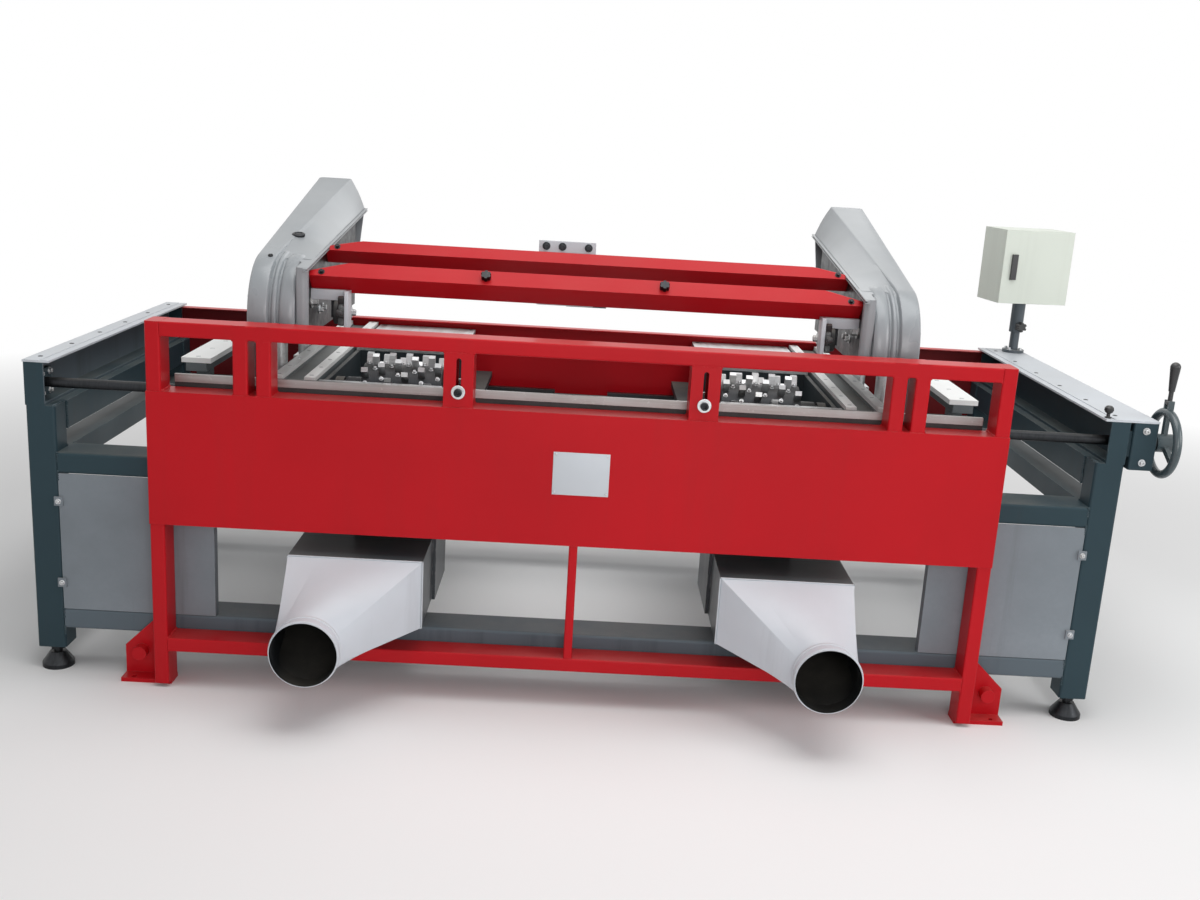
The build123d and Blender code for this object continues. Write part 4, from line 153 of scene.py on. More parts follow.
def screen_colour(red, green, blue):
    """A colour as seen on a screen, 0 to 255, turned into the linear values that shaders use."""
    linear = []
    for part in (red, green, blue):
        share = part / 255.0
        linear.append(share / 12.92 if share <= 0.04045 else ((share + 0.055) / 1.055) ** 2.4)
    return (*linear, 1.0)


# %% [markdown]
# ## Light, floor and background
#
# The machine stands in plain studio light: a wide soft lamp overhead, one in front and one from the right,
# weaker ones from the left and behind, and an even pale surround. The floor is a real surface that takes
# the machine's shadow. Far from the machine it turns into plain white for the camera and for reflections,
# so that no horizon line shows.

# %% Light and floor
LAMPS = {
    "overhead_lamp": ((0.5, -0.7, 4.5), (0.0, 0.0, 0.7), 3.6, 125.0),
    "front_lamp": ((0.9, -6.2, 1.9), (0.0, 0.0, 0.7), 2.6, 80.0),
    "left_lamp": ((-4.6, -3.6, 2.8), (-0.2, -0.2, 0.7), 2.6, 10.0),
    "right_lamp": ((4.8, -2.6, 2.4), (0.2, -0.2, 0.7), 2.2, 70.0),
    "rear_lamp": ((0.6, 4.6, 3.4), (0.0, 0.2, 0.9), 3.0, 26.0),
}
SURROUND_LIGHT = 0.30
FLOOR_SIZE = 60.0
FLOOR_COLOUR = (0.88, 0.88, 0.88, 1.0)
SHADOW_ZONE = (2.6, 5.5)


def white_for_eyes(tree):
    """One for camera, mirror and glass rays, nought for light that falls on things."""
    rays = add_node(tree, "ShaderNodeLightPath").outputs
    seen = math_node(tree, "MAXIMUM", rays["Is Camera Ray"], rays["Is Glossy Ray"])
    return math_node(tree, "MAXIMUM", seen, rays["Is Transmission Ray"])


for name, (place, target, size, power) in LAMPS.items():
    lamp = bpy.data.lights.new(name, "AREA")
    lamp.size = size
    lamp.energy = power
    holder = bpy.data.objects.new(name, lamp)
    holder.location = place
    holder.rotation_euler = (Vector(target) - Vector(place)).to_track_quat("-Z", "Y").to_euler()
    scene.collection.objects.link(holder)

world = bpy.data.worlds.new("studio")
world.use_nodes = True
tree = world.node_tree
tree.nodes.clear()
soft = node_out(tree, "ShaderNodeBackground", {"Color": WHITE, "Strength": SURROUND_LIGHT})
white = node_out(tree, "ShaderNodeBackground", {"Color": WHITE, "Strength": 1.0})
both = node_out(tree, "ShaderNodeMixShader", {0: white_for_eyes(tree), 1: soft, 2: white})
add_node(tree, "ShaderNodeOutputWorld", {"Surface": both})
scene.world = world
scene.view_settings.view_transform = "Standard"

floor_mesh = bpy.data.meshes.new("studio_floor")
floor_bm = bmesh.new()
bmesh.ops.create_grid(floor_bm, x_segments=1, y_segments=1, size=FLOOR_SIZE / 2)
floor_bm.to_mesh(floor_mesh)
floor_bm.free()
floor = bpy.data.objects.new("studio_floor", floor_mesh)
scene.collection.objects.link(floor)
floor_finish, tree = new_material("studio_floor")
spot = add_node(tree, "ShaderNodeTexCoord").outputs["Object"]
reach = add_node(tree, "ShaderNodeVectorMath", {0: spot}, operation="LENGTH").outputs["Value"]
far = math_node(tree, "MULTIPLY", span(tree, reach, *SHADOW_ZONE), white_for_eyes(tree))
matte = node_out(tree, "ShaderNodeBsdfDiffuse", {"Color": FLOOR_COLOUR})
plain = node_out(tree, "ShaderNodeEmission", {"Color": WHITE, "Strength": 1.0})
both = node_out(tree, "ShaderNodeMixShader", {0: far, 1: matte, 2: plain})
add_node(tree, "ShaderNodeOutputMaterial", {"Surface": both})
floor_mesh.materials.append(floor_finish)
print("lamps", len(LAMPS), "floor", FLOOR_SIZE, "m wide")

# %% [markdown]
# ## Effects that the finishes share
#
# Paint on a machine is never one flat colour. It is thinner on edges, where hands and boards rub it, it
# clouds a little where the gun overlapped, dust settles on what faces up, and washed-down dirt leaves faint
# vertical runs. Each effect is a node group with named inputs, so that every finish can take it at its own
# strength.


# %% Shader groups
NUMBER = "NodeSocketFloat"
DIRECTION = "NodeSocketVector"
MASK = {"Mask": NUMBER}
CORNER_TURN = (0.98, 0.80)
WORN_PATCHES = (0.46, 0.62)
FACES_UP = (0.55, 0.98)
DUST_PATCHES = (0.3, 0.75)
STANDS_UPRIGHT = (0.6, 0.2)
RUN_LINES = (0.52, 0.72)
MIDDLE_SHADES = (0.3, 0.7)
SCRATCH_LINES = (0.66, 0.72)


def shader_group(name, takes, gives):
    """An empty shader group, with its input and output sockets named."""
    group = bpy.data.node_groups.new(name, "ShaderNodeTree")
    for label, value in takes.items():
        kind = DIRECTION if isinstance(value, tuple) else NUMBER
        group.interface.new_socket(label, in_out="INPUT", socket_type=kind).default_value = value
    for label, kind in gives.items():
        group.interface.new_socket(label, in_out="OUTPUT", socket_type=kind)
    inside = add_node(group, "NodeGroupInput").outputs
    outside = add_node(group, "NodeGroupOutput").inputs
    return group, inside, outside


def object_place(tree):
    """Where a point lies on its piece."""
    return add_node(tree, "ShaderNodeTexCoord").outputs["Object"]


def facing_parts(tree):
    """Which way a surface faces, as three numbers."""
    facing = add_node(tree, "ShaderNodeNewGeometry").outputs["Normal"]
    return add_node(tree, "ShaderNodeSeparateXYZ", {0: facing}).outputs


def noise(tree, place, scale, detail=3.0, roughness=0.5):
    """Smooth noise from 0 to 1."""
    inputs = {"Vector": place, "Scale": scale, "Detail": detail, "Roughness": roughness}
    return add_node(tree, "ShaderNodeTexNoise", inputs).outputs["Fac"]


def stretched(tree, place, stretch):
    """Coordinates pulled out along some of their axes."""
    return node_out(tree, "ShaderNodeMapping", {"Vector": place, "Scale": stretch})


def rounded_edges(tree, radius):
    """Normals that turn smoothly round every edge."""
    return node_out(tree, "ShaderNodeBevel", {"Radius": radius}, samples=4)


def bumped(tree, height, normal):
    """Normals tilted by a height in metres."""
    return node_out(tree, "ShaderNodeBump", {"Height": height, "Distance": 1.0, "Normal": normal})


def make_worn_edges():
    """Where corners have rubbed through, broken up so that it never runs as an even line."""
    takes = {"Width": 0.004, "Patch Scale": 35.0, "Amount": 1.0}
    group, inside, outside = shader_group("worn_edges", takes, MASK)
    flat = add_node(group, "ShaderNodeNewGeometry").outputs["Normal"]
    pair = {0: rounded_edges(group, inside["Width"]), 1: flat}
    agree = add_node(group, "ShaderNodeVectorMath", pair, operation="DOT_PRODUCT").outputs["Value"]
    patches = noise(group, object_place(group), inside["Patch Scale"], 5.0, 0.65)
    patches = span(group, patches, *WORN_PATCHES)
    rubbed = math_node(group, "MULTIPLY", span(group, agree, *CORNER_TURN), patches)
    group.links.new(math_node(group, "MULTIPLY", rubbed, inside["Amount"], True), outside["Mask"])
    return group


def make_settled_dust():
    """Pale dust on what faces up, thicker in some places than in others."""
    group, inside, outside = shader_group("settled_dust", {"Patch Scale": 4.0, "Amount": 0.3}, MASK)
    place = object_place(group)
    patches = span(group, noise(group, place, inside["Patch Scale"], 6.0, 0.6), *DUST_PATCHES)
    grains = span(group, noise(group, place, 420.0, 2.0), 0.35, 0.7, 0.6, 1.0)
    lying = math_node(group, "MULTIPLY", span(group, facing_parts(group)["Z"], *FACES_UP), patches)
    lying = math_node(group, "MULTIPLY", lying, grains)
    group.links.new(math_node(group, "MULTIPLY", lying, inside["Amount"], True), outside["Mask"])
    return group


def make_cloudy_coat():
    """Wide soft clouds and fine mottling, both from 0 to 1."""
    gives = {"Cloud": NUMBER, "Mottle": NUMBER}
    group, inside, outside = shader_group("cloudy_coat", {"Cloud Scale": 1.6}, gives)
    place = object_place(group)
    clouds = noise(group, place, inside["Cloud Scale"], 4.0, 0.55)
    mottling = noise(group, place, 60.0, 4.0, 0.6)
    group.links.new(span(group, clouds, *MIDDLE_SHADES), outside["Cloud"])
    group.links.new(span(group, mottling, *MIDDLE_SHADES), outside["Mottle"])
    return group


def make_dirt_runs():
    """Faint vertical runs on upright faces, where washed-down dirt has dried."""
    group, inside, outside = shader_group("dirt_runs", {"Run Scale": 9.0, "Amount": 0.3}, MASK)
    level = math_node(group, "ABSOLUTE", facing_parts(group)["Z"])
    drawn_down = stretched(group, object_place(group), (1.0, 1.0, 0.06))
    streaks = noise(group, drawn_down, inside["Run Scale"], 6.0, 0.7)
    runs = math_node(group, "MULTIPLY", span(group, streaks, *RUN_LINES), span(group, level, *STANDS_UPRIGHT))
    group.links.new(math_node(group, "MULTIPLY", runs, inside["Amount"], True), outside["Mask"])
    return group


def make_coat_relief():
    """The surface of a coat: rounded edges, a slight sheet wave and a fine orange peel."""
    takes = {"Edge Radius": 0.002, "Peel Scale": 350.0, "Peel Height": 0.00004, "Wave Height": 0.0005}
    group, inside, outside = shader_group("coat_relief", takes, {"Normal": DIRECTION})
    place = object_place(group)
    wave = math_node(group, "MULTIPLY", noise(group, place, 5.0, 2.0), inside["Wave Height"])
    peel = math_node(group, "MULTIPLY", noise(group, place, inside["Peel Scale"], 2.0), inside["Peel Height"])
    height = math_node(group, "ADD", wave, peel)
    group.links.new(bumped(group, height, rounded_edges(group, inside["Edge Radius"])), outside["Normal"])
    return group


def make_tool_marks():
    """Fine parallel lines that a mill, a lathe or a grinding belt leaves, and stray scratches."""
    takes = {"Stretch": (1.0, 1.0, 1.0), "Line Scale": 300.0, "Edge Radius": 0.001, "Line Height": 0.00006}
    gives = {"Lines": NUMBER, "Scratches": NUMBER, "Normal": DIRECTION}
    group, inside, outside = shader_group("tool_marks", takes, gives)
    place = object_place(group)
    lines = noise(group, stretched(group, place, inside["Stretch"]), inside["Line Scale"], 3.0, 0.6)
    slant = node_out(group, "ShaderNodeMapping", {"Vector": place, "Rotation": (0.3, 0.5, 0.7)})
    stray = noise(group, stretched(group, slant, (1.0, 0.03, 1.0)), 120.0, 2.0)
    height = math_node(group, "MULTIPLY", lines, inside["Line Height"])
    group.links.new(lines, outside["Lines"])
    group.links.new(span(group, stray, *SCRATCH_LINES), outside["Scratches"])
    group.links.new(bumped(group, height, rounded_edges(group, inside["Edge Radius"])), outside["Normal"])
    return group


worn_edges = make_worn_edges()
settled_dust = make_settled_dust()
cloudy_coat = make_cloudy_coat()
dirt_runs = make_dirt_runs()
coat_relief = make_coat_relief()
tool_marks = make_tool_marks()
print("effects", [group.name for group in bpy.data.node_groups])

# %% [markdown]
# ## Painted finishes
#
# Guard, frame, panels, box and sheet-metal covers are all sprayed, so one function makes them all from a
# colour, the colour that shows where it has rubbed through, and how glossy and how dirty it is. The mix
# goes from the inside out: clouded paint, zones of another colour, dirt runs, dust, and worn edges last.


# %% Paint
DUST_COLOUR = screen_colour(196, 186, 170)
DIRT_COLOUR = screen_colour(58, 52, 46)
RED_COAT = {
    "colour": (190, 19, 30), "worn": (214, 88, 88), "gloss": 0.34, "wear": 0.45, "dust": 0.12, "runs": 0.12,
    "cloud": 0.09, "shine": 0.16,
}
TEAL_COAT = {
    "colour": (46, 66, 74), "worn": (112, 122, 126), "gloss": 0.42, "dust": 0.22, "runs": 0.4, "shine": 0.2,
}
CREAM_COAT = {
    "colour": (220, 226, 216), "worn": (176, 176, 168), "gloss": 0.45, "wear": 0.25, "dust": 0.1,
    "runs": 0.12, "cloud": 0.05,
}
PALE_COAT = {"worn": (228, 230, 232), "gloss": 0.36, "wear": 0.35, "dust": 0.15, "runs": 0.25}


def use_group(tree, group, **values):
    """A shader group placed in a material, with its inputs set. Underscores stand for spaces."""
    inputs = {name.replace("_", " "): value for name, value in values.items()}
    return add_node(tree, "ShaderNodeGroup", inputs, node_tree=group).outputs


def end_material(tree, inputs, **plain):
    """A Principled shader at the end of a material, with plain values set on its own sockets."""
    shader = node_out(tree, "ShaderNodeBsdfPrincipled", {**inputs, **plain})
    add_node(tree, "ShaderNodeOutputMaterial", {"Surface": shader})


def changed(colour, rule):
    """A colour with its three parts changed by a rule."""
    return (*(rule(part) for part in colour[:3]), 1.0)


def sprayed_paint(
    name, colour, worn, gloss=0.38, wear=0.6, dust=0.35, runs=0.3, cloud=0.16, shine=0.25, zone=None
):
    """Sprayed paint with clouds, dirt runs, dust and rubbed edges. A zone recolours some places."""
    made, tree = new_material(name)
    coat = screen_colour(*colour)
    coat_noise = use_group(tree, cloudy_coat, Cloud_Scale=1.7)
    darker = changed(coat, lambda part: part * (1.0 - cloud * 1.6))
    shade = blend_colour(tree, coat_noise["Cloud"], darker, coat)
    speck = math_node(tree, "MULTIPLY", coat_noise["Mottle"], cloud * 0.8)
    shade = blend_colour(tree, speck, shade, darker)
    if zone:
        shade = zone(tree, shade)
    run = use_group(tree, dirt_runs, Amount=runs)["Mask"]
    shade = blend_colour(tree, run, shade, tuple(0.5 * a + 0.5 * b for a, b in zip(darker, DIRT_COLOUR)))
    fallen = use_group(tree, settled_dust, Amount=dust)["Mask"]
    shade = blend_colour(tree, fallen, shade, DUST_COLOUR)
    rubbed = use_group(tree, worn_edges, Amount=wear)["Mask"]
    shade = blend_colour(tree, rubbed, shade, screen_colour(*worn))
    rough = span(tree, coat_noise["Cloud"], 0.0, 1.0, gloss + 0.07, gloss - 0.05)
    rough = math_node(tree, "ADD", rough, math_node(tree, "MULTIPLY", fallen, 0.5), True)
    inputs = {"Base Color": shade, "Roughness": rough, "Normal": use_group(tree, coat_relief)["Normal"]}
    end_material(tree, inputs, **{"Specular IOR Level": shine})
    return made


finishes = {
    "guard_paint": sprayed_paint("red_guard_enamel", **RED_COAT),
    "frame_paint": sprayed_paint("teal_frame_enamel", **TEAL_COAT),
    "panel_paint": sprayed_paint(
        "grey_panel_paint", (138, 146, 153), (176, 180, 182), 0.48, wear=0.4, dust=0.3, runs=0.5, cloud=0.24
    ),
    "pale_paint": sprayed_paint("pale_cover_paint", (204, 209, 215), cloud=0.08, shine=0.35, **PALE_COAT),
    "box_paint": sprayed_paint("cream_box_powder", **CREAM_COAT),
    "motor_paint": sprayed_paint(
        "motor_grey_paint", (96, 104, 110), (140, 140, 138), 0.44, wear=0.5, dust=0.5, cloud=0.2
    ),
    "bed_paint": sprayed_paint("grey_bed_paint", (104, 111, 114), (150, 154, 156), 0.46, wear=0.5, runs=0.2),
}
arm_finish = sprayed_paint(
    "grey_arm_paint", (150, 155, 159), (198, 200, 202), 0.28, wear=0.4, dust=0.1, runs=0.35, cloud=0.14,
    shine=0.5,
)
print("painted finishes", [made.name for made in finishes.values()], arm_finish.name)

# %% [markdown]
# ## Paint with zones
#
# Some pieces are not one colour. The hoods are pale sheet in front and dark primer on the square duct, and
# every face that looks inwards is painted near-black as shade, since the deep hood is dark inside: a face
# looks inwards where its normal points towards the hood's middle line. The lower rails are lighter grey-blue,
# the inside of the left beam is painted lighter as the light that falls from the right, the rear guard's ends
# are painted dark as the shade they lie in, and the box's socket has the post's paint. Each zone is read
# from the place of a point on the piece, so it stays put when the piece moves.


# %% Zoned paint
HOOD_BEND = (-0.895, -0.70)
HOOD_LINE_X = (0.685, 0.595)
HOOD_LINE_Z = (0.236, 0.325)
# Near-black painted shade, for the deep insides of the hoods and the rear guard's shaded ends.
PAINTED_SHADE_BLACK = screen_colour(24, 26, 28)
DUCT_PRIMER = screen_colour(62, 67, 71)
# Lighter grey-blue for the low rails, and painted light inside the left beam.
PALE_BLUE_GREY = screen_colour(108, 118, 126)
LOW_RAILS = (0.21, 0.26)
POST_GREY = (86, 94, 101)
BOX_FLOOR = 1.0915
BEAM_INSIDE = 0.785
GUARD_ENDS = (0.82, 0.98)


def place_parts(tree):
    """The place of a point on its piece, as three numbers."""
    return add_node(tree, "ShaderNodeSeparateXYZ", {0: object_place(tree)}).outputs


def step_at(tree, value, place, soft, *ends):
    """A step at a place, with a narrow soft edge. It goes from 0 to 1, or between two given ends."""
    return span(tree, value, place - soft, place + soft, *ends)


def hood_zones(tree, shade):
    """Primer on the square duct, and painted shade, near black, on every face that looks inwards."""
    x, y, z = place_parts(tree)
    facing = facing_parts(tree)
    out_x = math_node(tree, "ABSOLUTE", x)
    out_x = math_node(tree, "SUBTRACT", out_x, span(tree, y, *HOOD_BEND, *HOOD_LINE_X))
    out_z = math_node(tree, "SUBTRACT", z, span(tree, y, *HOOD_BEND, *HOOD_LINE_Z))
    out_x = math_node(tree, "MULTIPLY", out_x, math_node(tree, "SIGN", x))
    outward = math_node(tree, "MULTIPLY", out_x, facing["X"])
    outward = math_node(tree, "ADD", outward, math_node(tree, "MULTIPLY", out_z, facing["Z"]))
    shade = blend_colour(tree, step_at(tree, y, HOOD_BEND[1], 0.001), shade, DUCT_PRIMER)
    # Faces that look into the hood are painted near-black as shade.
    return blend_colour(tree, span(tree, outward, -0.004, -0.001, 1.0, 0.0), shade, PAINTED_SHADE_BLACK)


def rail_zones(tree, shade):
    """Lighter grey-blue on the low rails, up to their tops."""
    return blend_colour(tree, span(tree, place_parts(tree)["Z"], *LOW_RAILS, 0.62, 0.0), shade, PALE_BLUE_GREY)


def left_beam_painted_light(tree, shade):
    """Painted light: the left beam's faces that look to the middle are lighter, as lit from the right."""
    inward = span(tree, facing_parts(tree)["X"], 0.5, 0.9, 0.0, 0.7)
    high = step_at(tree, place_parts(tree)["Z"], BEAM_INSIDE, 0.005)
    # Painted light on the beam's inward faces, above its inner flange.
    return blend_colour(tree, math_node(tree, "MULTIPLY", inward, high), shade, PALE_BLUE_GREY)


def rear_guard_painted_shade(tree, shade):
    """Painted shade, near black, on the front of the rear guard's ends beyond the feed tracks."""
    in_front = span(tree, facing_parts(tree)["Y"], -0.9, -0.5, 1.0, 0.0)
    beyond = span(tree, math_node(tree, "ABSOLUTE", place_parts(tree)["X"]), *GUARD_ENDS, 0.0, 0.72)
    # Painted shade blended over the red at the guard's ends.
    return blend_colour(tree, math_node(tree, "MULTIPLY", beyond, in_front), shade, PAINTED_SHADE_BLACK)


def box_zones(tree, shade):
    """The post's paint on the socket under the box."""
    low = step_at(tree, place_parts(tree)["Z"], BOX_FLOOR, 0.0005, 1.0, 0.0)
    return blend_colour(tree, low, shade, screen_colour(*POST_GREY))


hood_finish = sprayed_paint(
    "pale_hood_paint", (204, 209, 216), cloud=0.1, shine=0.3, zone=hood_zones, **PALE_COAT
)
# Painted shade: the carriages are painted dark, so what shows of them through the windows reads as shadow.
carriage_shade_finish = sprayed_paint(
    "dark_carriage_paint", (44, 52, 56), (120, 124, 126), 0.5, wear=0.5, dust=0.25
)
node_finishes = {
    "dust_hood_left": hood_finish,
    "dust_hood_right": hood_finish,
    "carriage_left": carriage_shade_finish,
    "carriage_right": carriage_shade_finish,
    "long_rails": sprayed_paint("teal_rail_enamel", zone=rail_zones, **{**TEAL_COAT, "dust": 0.3}),
    "control_box": sprayed_paint("cream_box_and_socket", zone=box_zones, **CREAM_COAT),
    # Painted light inside the left end beam.
    "end_frame_left": sprayed_paint("teal_dusty_beam", zone=left_beam_painted_light, **TEAL_COAT),
    # The rear guard's ends are painted dark as shade.
    "rear_guard": sprayed_paint("red_rear_enamel", zone=rear_guard_painted_shade, **RED_COAT),
    "control_post": sprayed_paint("grey_post_paint", POST_GREY, (150, 154, 156), 0.36, shine=0.4),
    "handwheel": sprayed_paint(
        "wheel_enamel", (70, 84, 89), (150, 156, 158), 0.2, wear=0.7, dust=0.05, shine=0.6
    ),
}
print("zoned and single finishes", sorted({made.name for made in node_finishes.values()}))

# %% [markdown]
# ## Bare metal
#
# Tables, knives and shafts are bare steel. What makes steel look like steel is the direction of its tool
# marks, so each metal gets lines that run the way the part was cut, and a few stray scratches across them.


# %% Steel
ALONG_X = (0.02, 1.0, 1.0)
ALONG_Y = (1.0, 0.02, 1.0)
AROUND_X = (1.0, 0.15, 0.15)
WARM_STAIN = (1.0, 0.95, 0.88)


def bare_steel(name, colour, stretch, gloss=0.32, line_scale=300.0, stain=0.25, dust=0.2):
    """Bare or blackened steel with tool marks, stains and scratches."""
    made, tree = new_material(name)
    metal = screen_colour(*colour)
    marks = use_group(tree, tool_marks, Stretch=stretch, Line_Scale=line_scale)
    coat_noise = use_group(tree, cloudy_coat, Cloud_Scale=6.0)
    stained = (*(part * (1.0 - stain) * warm for part, warm in zip(metal, WARM_STAIN)), 1.0)
    bright = changed(metal, lambda part: min(1.0, part * 1.25 + 0.02))
    shade = blend_colour(tree, coat_noise["Cloud"], stained, metal)
    shade = blend_colour(tree, span(tree, marks["Lines"], 0.35, 0.65, 0.0, 0.35), shade, bright)
    shade = blend_colour(tree, math_node(tree, "MULTIPLY", marks["Scratches"], 0.4), shade, bright)
    rubbed = use_group(tree, worn_edges, Width=0.002, Patch_Scale=60.0, Amount=0.7)["Mask"]
    shade = blend_colour(tree, rubbed, shade, bright)
    fallen = use_group(tree, settled_dust, Patch_Scale=9.0, Amount=dust)["Mask"]
    shade = blend_colour(tree, fallen, shade, DUST_COLOUR)
    rough = span(tree, marks["Lines"], *MIDDLE_SHADES, gloss - 0.08, gloss + 0.12)
    rough = math_node(tree, "ADD", rough, math_node(tree, "MULTIPLY", fallen, 0.5), True)
    bare = span(tree, fallen, 0.0, 1.0, 1.0, 0.0)
    end_material(tree, {"Base Color": shade, "Roughness": rough, "Metallic": bare, "Normal": marks["Normal"]})
    return made


finishes["steel"] = bare_steel("milled_table_steel", (196, 199, 202), ALONG_Y, 0.36, 240.0)
finishes["knife_steel"] = bare_steel("knife_steel", (176, 178, 180), ALONG_X, 0.34, 400.0, 0.3, 0.0)
finishes["dark_steel"] = bare_steel("blackened_steel", (50, 52, 55), AROUND_X, 0.40, 260.0, 0.3, 0.08)
# Painted shade: the slide rails are dark steel so that they sink into the shadow under the carriages.
node_finishes["slide_rails"] = bare_steel("oiled_rail_steel", (66, 68, 71), ALONG_X, 0.3, 260.0, 0.3, 0.05)
node_finishes["stop_bar"] = bare_steel("worn_bar_steel", (160, 158, 158), ALONG_X, 0.4, 220.0, 0.3, 0.05)
print("metals", [made.name for made in bpy.data.materials if "steel" in made.name])

# %% [markdown]
# ## Plastic and rubber
#
# The wear strips are pale slippery plastic, the knobs black moulded plastic, and the belts and seal black
# rubber. They are duller than paint, with a fine moulded grain in place of orange peel.


# %% Plastic and rubber
def moulded(name, colour, gloss, grain_height, scuff=0.25, dust=0.3):
    """Moulded plastic or rubber with a fine grain, scuffs and dust."""
    made, tree = new_material(name)
    body = screen_colour(*colour)
    coat_noise = use_group(tree, cloudy_coat, Cloud_Scale=8.0)
    lighter = changed(body, lambda part: part + (0.5 - part) * 0.18)
    shade = blend_colour(tree, math_node(tree, "MULTIPLY", coat_noise["Cloud"], scuff), body, lighter)
    rubbed = use_group(tree, worn_edges, Width=0.003, Patch_Scale=50.0, Amount=scuff)["Mask"]
    shade = blend_colour(tree, rubbed, shade, lighter)
    fallen = use_group(tree, settled_dust, Patch_Scale=12.0, Amount=dust)["Mask"]
    shade = blend_colour(tree, fallen, shade, DUST_COLOUR)
    rough = span(tree, coat_noise["Mottle"], 0.0, 1.0, gloss - 0.06, gloss + 0.08)
    grain = {"Edge_Radius": 0.0015, "Peel_Scale": 900.0, "Peel_Height": grain_height, "Wave_Height": 0.0}
    relief = use_group(tree, coat_relief, **grain)["Normal"]
    end_material(tree, {"Base Color": shade, "Roughness": rough, "Normal": relief})
    return made


finishes["white_plastic"] = moulded("wear_strip_plastic", (238, 239, 238), 0.42, 0.00003, 0.1, 0.12)
finishes["black_plastic"] = moulded("black_knob_plastic", (28, 29, 31), 0.38, 0.00004, 0.35, 0.15)
finishes["black_rubber"] = moulded("black_rubber", (30, 30, 31), 0.62, 0.00008, 0.3, 0.3)
print("finishes", sorted(finishes))

# %% [markdown]
# ## Dressing the CAD solids
#
# The record says which material slot each solid takes its finish from, and a few solids have a finish of
# their own. The solids keep their shape and place, and only their material changes.

# %% Finish on every CAD node
for part in frame["record"]["subparts"]:
    solid = frame["nodes"][part["node"]]
    for place in solid.material_slots:
        place.material = node_finishes.get(part["node"], finishes[part["material_slot"]])

# %% [markdown]
# ## Making pieces
#
# The small pieces are built as meshes and then handed to the frame. One helper turns a bmesh into a tidy
# object with its seams closed and its faces pointing outwards. Another gives the object its finish and says
# which body it rides on. Sizes are written in millimetres, as on a drawing, and become metres here.


# %% Helpers for pieces
def mesh_piece(name, bm, smooth=35.0, turn_out=True):
    """A finished object from a bmesh whose sizes are in millimetres."""
    bmesh.ops.scale(bm, vec=(MM, MM, MM), verts=bm.verts)
    bmesh.ops.remove_doubles(bm, verts=bm.verts, dist=0.00002)
    if turn_out:
        bmesh.ops.recalc_face_normals(bm, faces=bm.faces)
    mesh = bpy.data.meshes.new(name)
    bm.to_mesh(mesh)
    bm.free()
    for face in mesh.polygons:
        face.use_smooth = True
    mesh.set_sharp_from_angle(angle=math.radians(smooth))
    piece = bpy.data.objects.new(name, mesh)
    scene.collection.objects.link(piece)
    return piece


def keep_piece(piece, body, slot, finish=None, stands_for=()):
    """Gives a piece its finish and the body it rides on, and hides the CAD nodes that it stands for."""
    piece.data.materials.clear()
    piece.data.materials.append(finish or finishes[slot])
    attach(piece, body)
    if stands_for:
        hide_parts(*stands_for)
    print(piece.name, "on", body, "with", len(piece.data.polygons), "faces")


def plain_mesh(piece, modifier):
    """Turns the result of a piece's one modifier into its own plain mesh."""
    made = bpy.data.meshes.new_from_object(piece.evaluated_get(bpy.context.evaluated_depsgraph_get()))
    piece.modifiers.remove(modifier)
    piece.data = made
    return made


def lathe(bm, profile, centre, axis, steps=32):
    """Turns a profile of (radius, height) round an axis. Its ends are capped, unless it is a closed ring."""
    turn = Vector((0, 0, 1)).rotation_difference(Vector(axis)).to_matrix()
    rings = []
    for radius, height in profile:
        ring = []
        for step in range(steps):
            angle = math.tau * step / steps
            spot = turn @ Vector((radius * math.cos(angle), radius * math.sin(angle), height))
            ring.append(bm.verts.new(Vector(centre) + spot))
        rings.append(ring)
    for low, high in zip(rings, rings[1:]):
        for step in range(steps):
            after = (step + 1) % steps
            bm.faces.new((low[step], low[after], high[after], high[step]))
    if profile[0] != profile[-1]:
        for end in (0, -1):
            if profile[end][0] > 0:
                bm.faces.new(rings[end])


def block(bm, low, high, bevel=1.0, turn=None):
    """A box between two corners with bevelled edges, turned about its middle where a matrix is given."""
    low = Vector(low)
    high = Vector(high)
    made = bmesh.ops.create_cube(bm, size=1.0)["verts"]
    size = Matrix.Diagonal((*(high - low), 1.0))
    shape = Matrix.Translation((low + high) / 2) @ (turn or Matrix()).to_4x4() @ size
    bmesh.ops.transform(bm, matrix=shape, verts=made)
    edges = list(dict.fromkeys(edge for vert in made for edge in vert.link_edges))
    bmesh.ops.bevel(bm, geom=edges, offset=bevel, segments=2, profile=0.6, affect="EDGES")


def side_block(bm, side, low, high, bevel=1.0, turn=None):
    """A block on the left or right half of the machine, with its corners given for the right half."""
    across = sorted((side * low[0], side * high[0]))
    block(bm, (across[0], *low[1:]), (across[1], *high[1:]), bevel, turn)


# %% [markdown]
# ## Geometry Nodes in code
#
# Bolts, weld beads, chain links and screw threads repeat, so Geometry Nodes make them. Each tree gets named
# inputs for its sizes. A tree runs once on a holder object, its result becomes a plain mesh, and the
# modifier goes away, because an exported model keeps no instances.


# %% Helpers for geometry trees
def geometry_tree(name, takes):
    """A geometry tree with named inputs, and its input and output sockets."""
    tree = bpy.data.node_groups.new(name, "GeometryNodeTree")
    tree.interface.new_socket("Geometry", in_out="INPUT", socket_type="NodeSocketGeometry")
    for label, value in takes.items():
        kind = {int: "NodeSocketInt", float: "NodeSocketFloat", bool: "NodeSocketBool"}.get(type(value))
        socket = tree.interface.new_socket(label, in_out="INPUT", socket_type=kind or "NodeSocketMaterial")
        if kind:
            socket.default_value = value
    tree.interface.new_socket("Geometry", in_out="OUTPUT", socket_type="NodeSocketGeometry")
    return tree, add_node(tree, "NodeGroupInput").outputs, add_node(tree, "NodeGroupOutput").inputs


